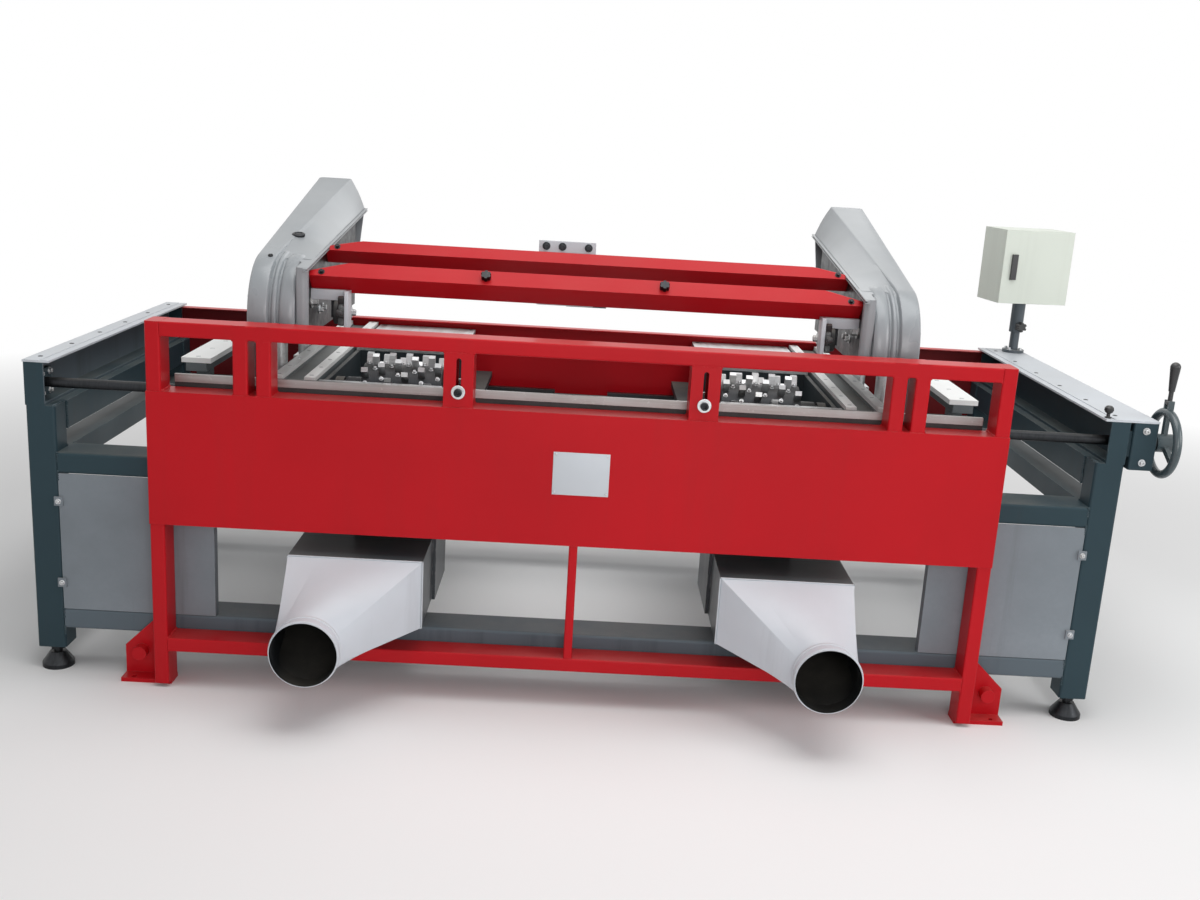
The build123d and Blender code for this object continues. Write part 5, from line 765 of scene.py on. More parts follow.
def end_geometry(tree, instances, inside, outside):
    """The end of each tree: instances made real, then the material."""
    real = node_out(tree, "GeometryNodeRealizeInstances", {0: instances})
    dressed = {"Geometry": real, "Material": inside["Material"]}
    tree.links.new(node_out(tree, "GeometryNodeSetMaterial", dressed), outside[0])


def join_geometry(tree, *parts):
    """Several geometries as one."""
    made = add_node(tree, "GeometryNodeJoinGeometry")
    for part in parts:
        tree.links.new(part, made.inputs[0])
    return made.outputs[0]


def cylinder(tree, sides, radius, depth):
    """The outputs of a cylinder that stands along Z."""
    inputs = {"Vertices": sides, "Radius": radius, "Depth": depth}
    return add_node(tree, "GeometryNodeMeshCylinder", inputs).outputs


def vector_of(tree, **parts):
    """A vector from its X, Y and Z."""
    return node_out(tree, "ShaderNodeCombineXYZ", parts)


def moved(tree, geometry, place, turn=(0.0, 0.0, 0.0)):
    """A geometry turned and put in its place."""
    inputs = {"Geometry": geometry, "Translation": place, "Rotation": turn}
    return node_out(tree, "GeometryNodeTransform", inputs)


def copies_on(tree, points, shape, turned, **more):
    """A shape repeated on points."""
    inputs = {"Points": points, "Instance": shape, "Rotation": turned, **more}
    return node_out(tree, "GeometryNodeInstanceOnPoints", inputs)


def turned_along(tree, direction, **options):
    """A turn that takes the Z axis to a direction."""
    return node_out(tree, "FunctionNodeAlignRotationToVector", {"Vector": direction}, axis="Z", **options)


def point_value(tree, name, kind):
    """A value that each point carries by name."""
    made = add_node(tree, "GeometryNodeInputNamedAttribute", {"Name": name}, data_type=kind)
    return [socket for socket in made.outputs if socket.enabled][0]


def run_tree(name, tree, holder_mesh, **settings):
    """Runs a tree on a holder and keeps the result as a plain mesh. Underscores stand for spaces."""
    piece = bpy.data.objects.new(name, holder_mesh)
    scene.collection.objects.link(piece)
    modifier = piece.modifiers.new(name, "NODES")
    modifier.node_group = tree
    for item in tree.interface.items_tree:
        label = item.name.replace(" ", "_")
        if item.in_out == "INPUT" and label in settings:
            modifier[item.identifier] = settings[label]
    plain_mesh(piece, modifier).name = name
    return piece


def tree_into(bm, name, tree, holder_mesh, place, **settings):
    """Runs a tree and adds its result to a bmesh in millimetres."""
    made = run_tree(name, tree, holder_mesh, **settings)
    made.data.transform(place @ Matrix.Scale(1 / MM, 4))
    bm.from_mesh(made.data)
    bpy.data.objects.remove(made)


# %% [markdown]
# ## Bolts, screws and rivets
#
# One tree makes every fastener: a head with some number of sides, a chamfer, a socket in its top and a
# washer under it. Points say where the heads sit, which way they face and how large they are. Six sides
# give a hexagon bolt, eighteen a cap screw, and a very low head a countersunk screw or a rivet.


# %% Fasteners
UP = (0, 0, 1)
TO_FRONT = (0, -1, 0)
TO_BACK = (0, 1, 0)
TO_RIGHT = (1, 0, 0)
BOTH_SIDES = (-1, 1)
SIDES = (("left", -1), ("right", 1))
CHAMFER_SHARE = 0.84
WASHER_SIDES = 20


def pulled_out(tree, mesh, chosen, distance):
    """The outputs of a node that pulls chosen faces out."""
    inputs = {"Mesh": mesh, "Selection": chosen, "Offset Scale": distance}
    return add_node(tree, "GeometryNodeExtrudeMesh", inputs).outputs


def drawn_in(tree, mesh, chosen, share):
    """A mesh with its chosen faces scaled about their middle."""
    return node_out(tree, "GeometryNodeScaleElements", {0: mesh, 1: chosen, "Scale": share})


def make_fastener_tree():
    """Heads on points that carry a facing and a size."""
    takes = {"Sides": 6, "Head Height": 0.6, "Head Radius": 0.577, "Chamfer": 0.08, "Socket Share": 0.5}
    takes.update({"Socket Depth": 0.05, "Washer Radius": 0.9, "Washer Height": 0.12, "Material": None})
    tree, inside, outside = geometry_tree("fasteners", takes)
    head = cylinder(tree, inside["Sides"], inside["Head Radius"], inside["Head Height"])
    rim = pulled_out(tree, head["Mesh"], head["Top"], inside["Chamfer"])
    chamfered = drawn_in(tree, rim["Mesh"], rim["Top"], CHAMFER_SHARE)
    flat = pulled_out(tree, chamfered, rim["Top"], 0.0)
    mouth = drawn_in(tree, flat["Mesh"], flat["Top"], inside["Socket Share"])
    depth = math_node(tree, "MULTIPLY", inside["Socket Depth"], -1.0)
    socket = pulled_out(tree, mouth, flat["Top"], depth)["Mesh"]
    half_head = math_node(tree, "MULTIPLY", inside["Head Height"], 0.5)
    lift = math_node(tree, "ADD", half_head, inside["Washer Height"])
    raised = moved(tree, socket, vector_of(tree, Z=lift))
    washer = cylinder(tree, WASHER_SIDES, inside["Washer Radius"], inside["Washer Height"])["Mesh"]
    half_washer = math_node(tree, "MULTIPLY", inside["Washer Height"], 0.5)
    shape = join_geometry(tree, raised, moved(tree, washer, vector_of(tree, Z=half_washer)))
    turned = turned_along(tree, point_value(tree, "facing", "FLOAT_VECTOR"))
    size = point_value(tree, "size", "FLOAT")
    end_geometry(tree, copies_on(tree, inside["Geometry"], shape, turned, Scale=size), inside, outside)
    return tree


FASTENER_KINDS = {
    "hex_bolts": {"Washer_Radius": 0.92, "Socket_Depth": 0.03},
    "cap_screws": {
        "Sides": 18, "Head_Radius": 0.5, "Socket_Depth": 0.3, "Washer_Radius": 0.72, "Washer_Height": 0.1,
    },
    "flush_screws": {
        "Sides": 18, "Head_Height": 0.04, "Head_Radius": 0.5, "Chamfer": 0.02, "Washer_Radius": 0.52,
        "Washer_Height": 0.02,
    },
    "rivets": {
        "Sides": 14, "Head_Height": 0.12, "Head_Radius": 0.5, "Chamfer": 0.14, "Socket_Share": 0.6,
        "Socket_Depth": -0.05, "Washer_Radius": 0.54, "Washer_Height": 0.03,
    },
}
fastener_tree = make_fastener_tree()


def fasten(name, body, kind, places, finish="steel"):
    """All fasteners of one kind on one body: each place is a point, a facing and a size in millimetres."""
    spots, facings, sizes = zip(*places)
    mesh = bpy.data.meshes.new(name)
    mesh.from_pydata([Vector(spot) * MM for spot in spots], [], [])
    facing_data = mesh.attributes.new("facing", "FLOAT_VECTOR", "POINT").data
    facing_data.foreach_set("vector", [part for facing in facings for part in facing])
    size_data = mesh.attributes.new("size", "FLOAT", "POINT").data
    size_data.foreach_set("value", [size * MM for size in sizes])
    piece = run_tree(name, fastener_tree, mesh, Material=finishes[finish], **FASTENER_KINDS[kind])
    keep_piece(piece, body, finish)


def depth_row(x, first, pitch, count, height, size):
    """Screws in a row along the machine's depth, with their heads up."""
    return [((x, first + pitch * step, height), UP, size) for step in range(count)]


print("kinds of fasteners", sorted(FASTENER_KINDS))

# %% [markdown]
# ## Fasteners on the floor frame
#
# Screws hold the pale strips and the side panels, bolts hold the screw's bearing, the control post and the
# press columns. Rows are spaced by a rule, so short loops list their places. Countersunk screws are only
# just proud of what they hold, because boards slide over them.

# %% Fasteners on the frame
TRACK_STRIPS_X = (765, 857)
TRACK_STRIP_TOP = 880
OUTER_SUPPORT_X = 1134
OUTER_STRIP_TOP = 885
COVER_TOP = 906
COVER_SCREWS_X = 1497
POST_FOOT = (1560, 545, 916)
POST_BOLT_CIRCLE = 27
POST_BOLT_TURNS = (0.8, 2.4, 3.9, 5.5)
COLUMN_DEPTHS = (-300, 20)
SCREW_AXIS = (-555.0, 838.0)
FLANGE_BOLTS = (-27, 27)
LUGS_X = 1440
LUG_HEIGHTS = (270, 510)
RIGHT_BEARING_X = 1566
strip_screws = []
cover_screws = []
for side in BOTH_SIDES:
    for strip_x in TRACK_STRIPS_X:
        strip_screws += depth_row(side * strip_x, -470, 127.5, 9, TRACK_STRIP_TOP, 12)
    strip_screws += depth_row(side * OUTER_SUPPORT_X, -305, 141, 7, OUTER_STRIP_TOP, 14)
    cover_screws += depth_row(side * COVER_SCREWS_X, -540, 216, 6, COVER_TOP, 13)
fasten("strip_screws", "frame", "flush_screws", strip_screws)
fasten("cover_screws", "frame", "flush_screws", cover_screws, "dark_steel")

frame_bolts = []
post_x, post_y, post_z = POST_FOOT
for turn in POST_BOLT_TURNS:
    bolt_x = post_x + POST_BOLT_CIRCLE * math.cos(turn)
    bolt_y = post_y + POST_BOLT_CIRCLE * math.sin(turn)
    frame_bolts.append(((bolt_x, bolt_y, post_z), UP, 10))
for side in BOTH_SIDES:
    for column_y in COLUMN_DEPTHS:
        frame_bolts += [((side * 921, column_y + step, 820), (side, 0, 0), 15) for step in (-22, 22)]
    frame_bolts += [((side * across, -546, 662), UP, 18) for across in (785, 838)]
    frame_bolts += [((side * OUTER_SUPPORT_X, along, 690), UP, 18) for along in (-540, 540)]
screw_y, screw_z = SCREW_AXIS
for across in FLANGE_BOLTS:
    frame_bolts += [((-1480, screw_y + across, screw_z + up), TO_RIGHT, 11) for up in FLANGE_BOLTS]
fasten("frame_bolts", "frame", "hex_bolts", frame_bolts)

lug_screws = [((side * LUGS_X, -606, up), TO_FRONT, 11) for side in BOTH_SIDES for up in LUG_HEIGHTS]
lug_screws += [((RIGHT_BEARING_X, -600, up), TO_FRONT, 14) for up in (788, 878)]
lug_screws += [((-1400 + 280 * row, 604, 630), TO_BACK, 14) for row in range(11)]
fasten("panel_screws", "frame", "cap_screws", lug_screws)

# %% [markdown]
# ## Fasteners on the press unit
#
# The arms are sheet-metal covers screwed to inner plates, and the plates are bolted to sleeves on the
# columns. The tie bars end in bolts whose heads lie on the sloping face, so these face along that slope.

# %% Fasteners on the press unit
SLOPE_UP = (0, -math.sqrt(0.5), math.sqrt(0.5))
TIE_RIDGES = ((-465, 1162), (-240, 1212))
ARM_PLATE_X = 775
ARM_OUTER_X = 930
FEED_AXIS_Z = 1085
LOW_RIVETS = ((-505, 1010), (-505, 1100), (-455, 1140), (-250, 1010), (0, 1010), (210, 1010))
TOP_RIVETS_Y = (-250, 0, 250)
press_bolts = []
for side in BOTH_SIDES:
    inward = (-side, 0, 0)
    for column_y in COLUMN_DEPTHS:
        for across in (-24, 24):
            press_bolts += [((side * ARM_PLATE_X, column_y + across, up), inward, 14) for up in (1048, 1102)]
    press_bolts.append(((side * ARM_PLATE_X, -425, FEED_AXIS_Z), inward, 22))
    press_bolts.append(((side * 686.5, -300, 1040), inward, 17))
    for bolt_y in (113, 187):
        press_bolts += [((side * 65, bolt_y, FEED_AXIS_Z + step), (side, 0, 0), 10) for step in (-28, 28)]
fasten("press_bolts", "press", "hex_bolts", press_bolts)

tie_bolts = [((across, -194, 1256), TO_FRONT, 13) for across in (-128, -80, -2)]
for side in BOTH_SIDES:
    tie_bolts += [((side * 742, ridge_y + 10, ridge_z + 10), SLOPE_UP, 10) for ridge_y, ridge_z in TIE_RIDGES]
fasten("tie_bolts", "press", "hex_bolts", tie_bolts, "dark_steel")

cover_rivets = []
for side in BOTH_SIDES:
    along_top = [(along, 1205 + 0.224 * (along + 340)) for along in TOP_RIVETS_Y]
    for along, up in (*LOW_RIVETS, *along_top):
        cover_rivets.append(((side * ARM_OUTER_X, along, up), (side, 0, 0), 12))
fasten("arm_cover_screws", "press", "rivets", cover_rivets)

# %% [markdown]
# ## Fasteners on the carriages and cutters
#
# Each table plate is screwed down from above. On the cutter, every knife is locked in its pocket by a screw
# set square to the drum, so these points are worked out from the same steps as the knives.

# %% Fasteners on the carriages and cutters
TABLE_TOP = 872
TABLE_EDGES_X = (412, 722)
KNIFE_COLUMNS = 10
KNIFE_FIRST_X = 405
KNIFE_COLUMN_WIDTH = 23.0
KNIVES_ROUND = 6
KNIFE_STAGGER = math.radians(35)
DRUM_RADIUS = 86.0
CUTTER_AXIS = (-350.0, 815.0)
SCREW_AHEAD = math.radians(15)
for name, side in SIDES:
    table_screws = [((side * across, -511, TABLE_TOP), UP, 13) for across in (412, 515, 620, 722)]
    for along in (115, 260, 410, 560):
        table_screws += [((side * across, along, TABLE_TOP), UP, 13) for across in TABLE_EDGES_X]
    fasten(f"table_screws_{name}", f"carriage_{name}", "flush_screws", table_screws, "dark_steel")
    plate_bolts = [((side * across, along, 720), UP, 16) for across in (440, 600) for along in (10, 60)]
    plate_bolts += [((side * across, -577, 836), TO_FRONT, 10) for across in (552, 588)]
    fasten(f"carriage_bolts_{name}", f"carriage_{name}", "hex_bolts", plate_bolts)
    knife_screws = []
    for column in range(KNIFE_COLUMNS):
        column_x = side * (KNIFE_FIRST_X + (column + 0.5) * KNIFE_COLUMN_WIDTH)
        for knife in range(KNIVES_ROUND):
            angle = column * KNIFE_STAGGER + knife * math.tau / KNIVES_ROUND + SCREW_AHEAD
            out_y, out_z = math.cos(angle), math.sin(angle)
            spot = (column_x, CUTTER_AXIS[0] + DRUM_RADIUS * out_y, CUTTER_AXIS[1] + DRUM_RADIUS * out_z)
            knife_screws.append((spot, (0, out_y, out_z), 9))
    fasten(f"knife_screws_{name}", f"cutter_{name}", "cap_screws", knife_screws)

# %% [markdown]
# ## Weld beads
#
# The guard and the floor frame are welded from tubes. A weld is a row of small overlapping scales left by
# the torch, so the tree walks along each seam, puts a flattened drop at every step, and varies the drops a
# little.


# %% Welds
SMALLEST_DROP = (0.8, 0.8, 0.7)
LARGEST_DROP = (1.15, 1.15, 0.95)


def make_weld_tree():
    """Drops along the edges of a mesh, each turned along its seam."""
    takes = {"Pitch": 0.005, "Drop": 0.004, "Seed": 7, "Material": None}
    tree, inside, outside = geometry_tree("weld_beads", takes)
    seam = node_out(tree, "GeometryNodeMeshToCurve", {"Mesh": inside["Geometry"]})
    inputs = {"Curve": seam, "Length": inside["Pitch"]}
    steps = node_out(tree, "GeometryNodeResampleCurve", inputs, mode="LENGTH")
    inputs = {"Segments": 8, "Rings": 5, "Radius": inside["Drop"]}
    drop = add_node(tree, "GeometryNodeMeshUVSphere", inputs).outputs["Mesh"]
    turned = turned_along(tree, node_out(tree, "GeometryNodeInputTangent"))
    inputs = {"Seed": inside["Seed"], "Min": SMALLEST_DROP, "Max": LARGEST_DROP}
    varied = node_out(tree, "FunctionNodeRandomValue", inputs, data_type="FLOAT_VECTOR")
    end_geometry(tree, copies_on(tree, steps, drop, turned, Scale=varied), inside, outside)
    return tree


def weld(name, body, seams, slot, drop=3.5):
    """Weld beads along seams, each a pair of points in millimetres."""
    points = [Vector(spot) * MM for seam in seams for spot in seam]
    mesh = bpy.data.meshes.new(name)
    mesh.from_pydata(points, [(2 * index, 2 * index + 1) for index in range(len(seams))], [])
    piece = run_tree(name, weld_tree, mesh, Drop=drop * MM, Pitch=1.25 * drop * MM, Material=finishes[slot])
    keep_piece(piece, body, slot)


weld_tree = make_weld_tree()

# %% [markdown]
# ### Seams of the guard and the frame
#
# The seams lie where tubes meet. Behind the slotted posts the stop bar slides up past the top seam, so that
# one has no bead.

# %% Guard and frame seams
GUARD_FRONT_WELD = -677
GUARD_BACK_WELD = -603
WINDOW_POSTS = ((911, 20), (849, 20), (330, 40))
WINDOW_EDGES = (856, 1004)
NO_BEAD = (330, 1004, GUARD_BACK_WELD)
GUARD_LEG_X = 1122
GUARD_BARS = (109, 149, 484, 524, 816, 856, 1004, 1041)
guard_seams = []
for side in BOTH_SIDES:
    for post_x, half in WINDOW_POSTS:
        for up in WINDOW_EDGES:
            for face_y in (GUARD_FRONT_WELD, GUARD_BACK_WELD):
                if (post_x, up, face_y) != NO_BEAD:
                    ends = (side * post_x - half, side * post_x + half)
                    guard_seams.append([(x, face_y, up) for x in ends])
    for up in GUARD_BARS:
        guard_seams.append([(side * GUARD_LEG_X, y, up) for y in (-676, -604)])
    guard_seams.append([(side * 1164, -612, z) for z in (14, 172)])
    guard_seams.append([(side * x, -652, 13) for x in (1124, 1160)])
weld("guard_welds", "frame", guard_seams, "guard_paint")

LEG_INNER_X = 1440
frame_seams = []
for side in BOTH_SIDES:
    for along in (-600, 520):
        for leg_x in (1446, 1514):
            frame_seams.append([(side * leg_x, along + step, 780) for step in (2, 78)])
    for along in (-519, 519):
        for up in (130, 190):
            frame_seams.append([(side * x, along, up) for x in (1452, 1508)])
        frame_seams.append([(side * LEG_INNER_X, along, z) for z in (702, 778)])
    for along in (-519, 519):
        for up in (590, 650):
            frame_seams.append([(side * x, along, up) for x in (1444, 1516)])
    for along in (-598, -482, 482, 598):
        for up in (134, 186, 594, 646):
            frame_seams.append([(side * LEG_INNER_X, along, up + step) for step in (-22, 2)])
weld("frame_welds", "frame", frame_seams, "frame_paint", 4.0)

# %% [markdown]
# ## Adjusting screw
#
# The long screw is smooth at its ends, where it runs in bearings, and threaded in the middle. Its thread is
# left-hand on one side and right-hand on the other, so that one turn moves both carriages towards each
# other. A spiral swept with a small square profile makes each thread, and a turned core carries them.


# %% Adjusting screw
def make_thread_tree():
    """A square thread round the Z axis."""
    takes = {"Turns": 40.0, "Length": 0.4, "Radius": 0.0125, "Profile": 0.0032, "Left Hand": False}
    tree, inside, outside = geometry_tree("screw_thread", {**takes, "Material": None})
    inputs = {"Resolution": 20, "Rotations": inside["Turns"], "Height": inside["Length"]}
    inputs.update({"Start Radius": inside["Radius"], "End Radius": inside["Radius"]})
    inputs["Reverse"] = inside["Left Hand"]
    spiral = node_out(tree, "GeometryNodeCurveSpiral", inputs)
    level = node_out(tree, "GeometryNodeSetCurveNormal", {"Curve": spiral}, mode="Z_UP")
    inputs = {"Width": inside["Profile"], "Height": inside["Profile"]}
    profile = node_out(tree, "GeometryNodeCurvePrimitiveQuadrilateral", inputs)
    inputs = {"Curve": level, "Profile Curve": profile, "Fill Caps": True}
    end_geometry(tree, node_out(tree, "GeometryNodeCurveToMesh", inputs), inside, outside)
    return tree


THREAD_START = 300.0
THREAD_END = 760.0
THREAD_PITCH = 10.0
SHAFT_RADIUS = 14
CORE_RADIUS = 11
thread_tree = make_thread_tree()
screw_bm = bmesh.new()
ends = [(0, -1510), (12.5, -1510), (SHAFT_RADIUS, -1508.5)]
for first, last in ((-THREAD_END, -THREAD_START), (THREAD_START, THREAD_END)):
    ends += [(SHAFT_RADIUS, first), (CORE_RADIUS, first), (CORE_RADIUS, last), (SHAFT_RADIUS, last)]
ends += [(SHAFT_RADIUS, 1600.4), (22.5, 1600.4), (24, 1602), (24, 1610.5), (22.5, 1612.2)]
ends += [(SHAFT_RADIUS, 1612.2), (SHAFT_RADIUS, 1660.5), (12.5, 1662.2), (0, 1662.2)]
lathe(screw_bm, ends, (0, *SCREW_AXIS), TO_RIGHT, 28)
length = THREAD_END - THREAD_START
for side in BOTH_SIDES:
    middle_x = side * (THREAD_START + THREAD_END) / 2
    place = Matrix.Translation((middle_x, *SCREW_AXIS)) @ Matrix.Rotation(math.pi / 2, 4, "Y")
    place = place @ Matrix.Translation((0, 0, -length / 2))
    sizes = {"Turns": length / THREAD_PITCH, "Length": length * MM, "Left_Hand": side < 0}
    holder = bpy.data.meshes.new("thread")
    tree_into(screw_bm, "thread", thread_tree, holder, place, Material=finishes["dark_steel"], **sizes)
keep_piece(mesh_piece("adjusting_screw", screw_bm), "screw", "dark_steel", stands_for=["lead_screw"])

# %% [markdown]
# ## Feed chains
#
# A roller chain runs round the two sprockets in each arm. Its path is two half circles and two straight
# runs. The tree walks along that path in equal steps, and puts outer plates and inner plates on every other
# step, so that the links overlap at the pins as they do in a real chain.


# %% Chains
INNER_PLATES = 0.72
PIN_LENGTH = 2.3
LYING = (0.0, math.pi / 2, 0.0)


def loop_round(centres, radii, arc_steps=40):
    """Points of a belt line round two circles in the YZ plane, with the way out at each point."""
    (y0, z0), (y1, z1) = centres
    gap = math.hypot(y1 - y0, z1 - z0)
    heading = math.atan2(z1 - z0, y1 - y0)
    lean = math.acos((radii[0] - radii[1]) / gap)
    points = []
    for (y, z), radius, start, end in (
        ((y0, z0), radii[0], heading + lean, heading + math.tau - lean),
        ((y1, z1), radii[1], heading - lean, heading + lean),
    ):
        for step in range(arc_steps + 1):
            angle = start + (end - start) * step / arc_steps
            out = (math.cos(angle), math.sin(angle))
            points.append(((y + radius * out[0], z + radius * out[1]), out))
    return points


def make_chain_tree():
    """Links along a closed line, outer and inner ones in turn, turned about X."""
    takes = {"Links": 64, "Link Pitch": 0.0253, "Plate Height": 0.011, "Plate Thick": 0.0022}
    takes.update({"Half Width": 0.011, "Pin Radius": 0.004, "Material": None})
    tree, inside, outside = geometry_tree("roller_chain", takes)
    line = node_out(tree, "GeometryNodeMeshToCurve", {"Mesh": inside["Geometry"]})
    inputs = {"Curve": line, "Count": inside["Links"]}
    steps = node_out(tree, "GeometryNodeResampleCurve", inputs, mode="COUNT")
    turned = turned_along(tree, node_out(tree, "GeometryNodeInputTangent"), pivot_axis="X")
    odd = math_node(tree, "MODULO", node_out(tree, "GeometryNodeInputIndex"), 2.0)
    even = math_node(tree, "SUBTRACT", 1.0, odd)
    reach = math_node(tree, "MULTIPLY", inside["Link Pitch"], 0.5)
    half_height = math_node(tree, "MULTIPLY", inside["Plate Height"], 0.5)
    plate = vector_of(tree, X=inside["Plate Thick"], Y=inside["Plate Height"], Z=inside["Link Pitch"])
    links = []
    for chosen, share in ((even, 1.0), (odd, INNER_PLATES)):
        parts = []
        shift = math_node(tree, "MULTIPLY", inside["Half Width"], share)
        for way in (-1.0, 1.0):
            place_x = math_node(tree, "MULTIPLY", shift, way)
            bar = node_out(tree, "GeometryNodeMeshCube", {"Size": plate})
            parts.append(moved(tree, bar, vector_of(tree, X=place_x)))
            for end in (-1.0, 1.0):
                disc = cylinder(tree, 14, half_height, inside["Plate Thick"])["Mesh"]
                spot = vector_of(tree, X=place_x, Z=math_node(tree, "MULTIPLY", reach, end))
                parts.append(moved(tree, disc, spot, LYING))
        pin = cylinder(tree, 12, inside["Pin Radius"], math_node(tree, "MULTIPLY", shift, PIN_LENGTH))["Mesh"]
        parts.append(moved(tree, pin, vector_of(tree, Z=reach), LYING))
        links.append(copies_on(tree, steps, join_geometry(tree, *parts), turned, Selection=chosen))
    end_geometry(tree, join_geometry(tree, *links), inside, outside)
    return tree


CHAIN_CENTRES = ((-425.0, FEED_AXIS_Z), (150.0, FEED_AXIS_Z))
CHAIN_LINE_RADIUS = 75.0
CHAIN_X = 825
chain_tree = make_chain_tree()
chain_bm = bmesh.new()
chain_path = loop_round(CHAIN_CENTRES, (CHAIN_LINE_RADIUS, CHAIN_LINE_RADIUS))
for side in BOTH_SIDES:
    holder = bpy.data.meshes.new("chain_line")
    spots = [Vector((side * CHAIN_X, y, z)) * MM for (y, z), out in chain_path]
    holder.from_pydata(spots, [(index, (index + 1) % len(spots)) for index in range(len(spots))], [])
    tree_into(chain_bm, "chain_links", chain_tree, holder, Matrix(), Material=finishes["dark_steel"])
keep_piece(mesh_piece("roller_chains", chain_bm), "press", "dark_steel", stands_for=["feed_chains"])

# %% [markdown]
# ## Drive belts
#
# Each cutter is driven by a belt of three joined V strands. A strand sits in its pulley groove, so the
# inside of the section is three teeth and the outside is flat. The section is swept along the belt line by
# joining one ring of points to the next, which keeps the teeth crisp.

# %% Belts
MOTOR_AXIS = (60.0, 585.0)
PULLEY_RADII = (60.0, 34.0)
BELT_INSIDE = 0.4
BELT_OUTSIDE = 8.4
TOOTH_ROOT = 4.4
TOOTH_SHAPE = ((1.0, TOOTH_ROOT), (0.78, BELT_INSIDE), (0.22, BELT_INSIDE), (0.0, TOOTH_ROOT))
BELT_FIRST_X = 694.0
BELT_TEETH = 3
TOOTH_WIDTH = 8.0
belt_path = loop_round((MOTOR_AXIS, CUTTER_AXIS), PULLEY_RADII, 32)
section = [(BELT_FIRST_X, BELT_OUTSIDE), (BELT_FIRST_X + BELT_TEETH * TOOTH_WIDTH, BELT_OUTSIDE)]
for tooth in reversed(range(BELT_TEETH)):
    tooth_x = BELT_FIRST_X + tooth * TOOTH_WIDTH
    section += [(tooth_x + share * TOOTH_WIDTH, height) for share, height in TOOTH_SHAPE]
for name, side in SIDES:
    belt_bm = bmesh.new()
    rings = []
    for (y, z), (out_y, out_z) in belt_path:
        ring = [Vector((side * across, y + up * out_y, z + up * out_z)) for across, up in section]
        rings.append([belt_bm.verts.new(spot) for spot in ring])
    for ring, after in zip(rings, rings[1:] + rings[:1]):
        for index in range(len(section)):
            follow = (index + 1) % len(section)
            belt_bm.faces.new((ring[index], ring[follow], after[follow], after[index]))
    belt = mesh_piece(f"v_belt_{name}", belt_bm, 25.0)
    keep_piece(belt, f"carriage_{name}", "black_rubber", stands_for=[f"drive_belt_{name}"])

# %% [markdown]
# ## Motor fittings
#
# A motor is more than its finned body: it has a fan cowl with slots at the back end, a terminal box on its
# side with a lid and a cable gland, and a ring where the shaft comes out. The gear motor above has the same
# parts, smaller.


# %% Motor fittings
GLAND = ((0, 0), (11, 0), (11, 6), (9, 6), (9, 12), (6, 17), (0, 17))
MOTOR_NOSE = ((0, 0), (60, 0), (60, 5), (40, 9), (15, 9), (0, 9))
GEAR_FLANGE = ((0, 0), (52, 0), (52, 8), (46, 12), (0, 12))
GEAR_RIBS = 20
GEAR_BODY_RADIUS = 47
TERMINAL_BOX_X = 525
DEPTH_WAY = 1
HEIGHT_WAY = 2


def cowl(bm, centre, axis, radius, length, slots):
    """A fan cowl: a turned cup with a rounded back and raised ribs round its grille."""
    profile = [(0, 0), (radius, 0), (radius, length * 0.75), (radius * 0.95, length * 0.9)]
    profile += [(radius * 0.86, length), (radius * 0.3, length)]
    profile += [(radius * 0.26, length + 1.5), (0, length + 1.5)]
    lathe(bm, profile, centre, axis, 36)
    facing = Vector(axis)
    turn = Vector((0, 0, 1)).rotation_difference(facing).to_matrix()
    half = Vector((radius * 0.25, 1.6, 1.0))
    for slot in range(slots):
        spoke = turn @ Matrix.Rotation(math.tau * slot / slots, 3, "Z")
        middle = Vector(centre) + facing * (length + 0.6) + spoke @ Vector((radius * 0.55, 0, 0))
        block(bm, middle - half, middle + half, 0.5, spoke)


def terminal_box(bm, low, high, lid_way, gland_spot, gland_facing):
    """A box with a lid on its far end along one axis, a little proud all round, and a cable gland."""
    block(bm, low, high, 2.5)
    proud = Vector((1.5, 1.5, 1.5))
    lid_low = Vector(low) - proud
    lid_low[lid_way] = high[lid_way] - 6
    block(bm, lid_low, Vector(high) + proud, 1.5)
    lathe(bm, GLAND, gland_spot, gland_facing, 12)


for name, side in SIDES:
    motor_bm = bmesh.new()
    cowl(motor_bm, (side * 405, *MOTOR_AXIS), (-side, 0, 0), 84, 34, 18)
    lathe(motor_bm, MOTOR_NOSE, (side * 645, *MOTOR_AXIS), (side, 0, 0), 36)
    box_x = side * TERMINAL_BOX_X
    low, high = (box_x - 48, 138, 552), (box_x + 48, 188, 634)
    terminal_box(motor_bm, low, high, DEPTH_WAY, (box_x + 20, 160, 552), (0, 0, -1))
    keep_piece(mesh_piece(f"motor_fittings_{name}", motor_bm), f"carriage_{name}", "motor_paint")

gear_bm = bmesh.new()
cowl(gear_bm, (0, 395, FEED_AXIS_Z), TO_BACK, GEAR_BODY_RADIUS, 22, 14)
rib_half = Vector((1.6, 75, 5))
for rib in range(GEAR_RIBS):
    spoke = Matrix.Rotation(math.tau * rib / GEAR_RIBS, 3, "Y")
    middle = Vector((0, 290, FEED_AXIS_Z)) + spoke @ Vector((0, 0, GEAR_BODY_RADIUS))
    block(gear_bm, middle - rib_half, middle + rib_half, 0.8, spoke)
lathe(gear_bm, GEAR_FLANGE, (0, 204, FEED_AXIS_Z), TO_BACK, 32)
terminal_box(gear_bm, (-34, 235, 1128), (34, 300, 1166), HEIGHT_WAY, (34, 262, 1147), TO_RIGHT)
keep_piece(mesh_piece("gear_motor_fittings", gear_bm), "press", "motor_paint")

# %% [markdown]
# ## Dust hoods
#
# The hoods are folded from thin sheet. A rolled bead near the mouth keeps a hose from slipping off, and
# folded seams run round the square part. Both are narrow raised lines, so small swept rings and bars are
# enough.

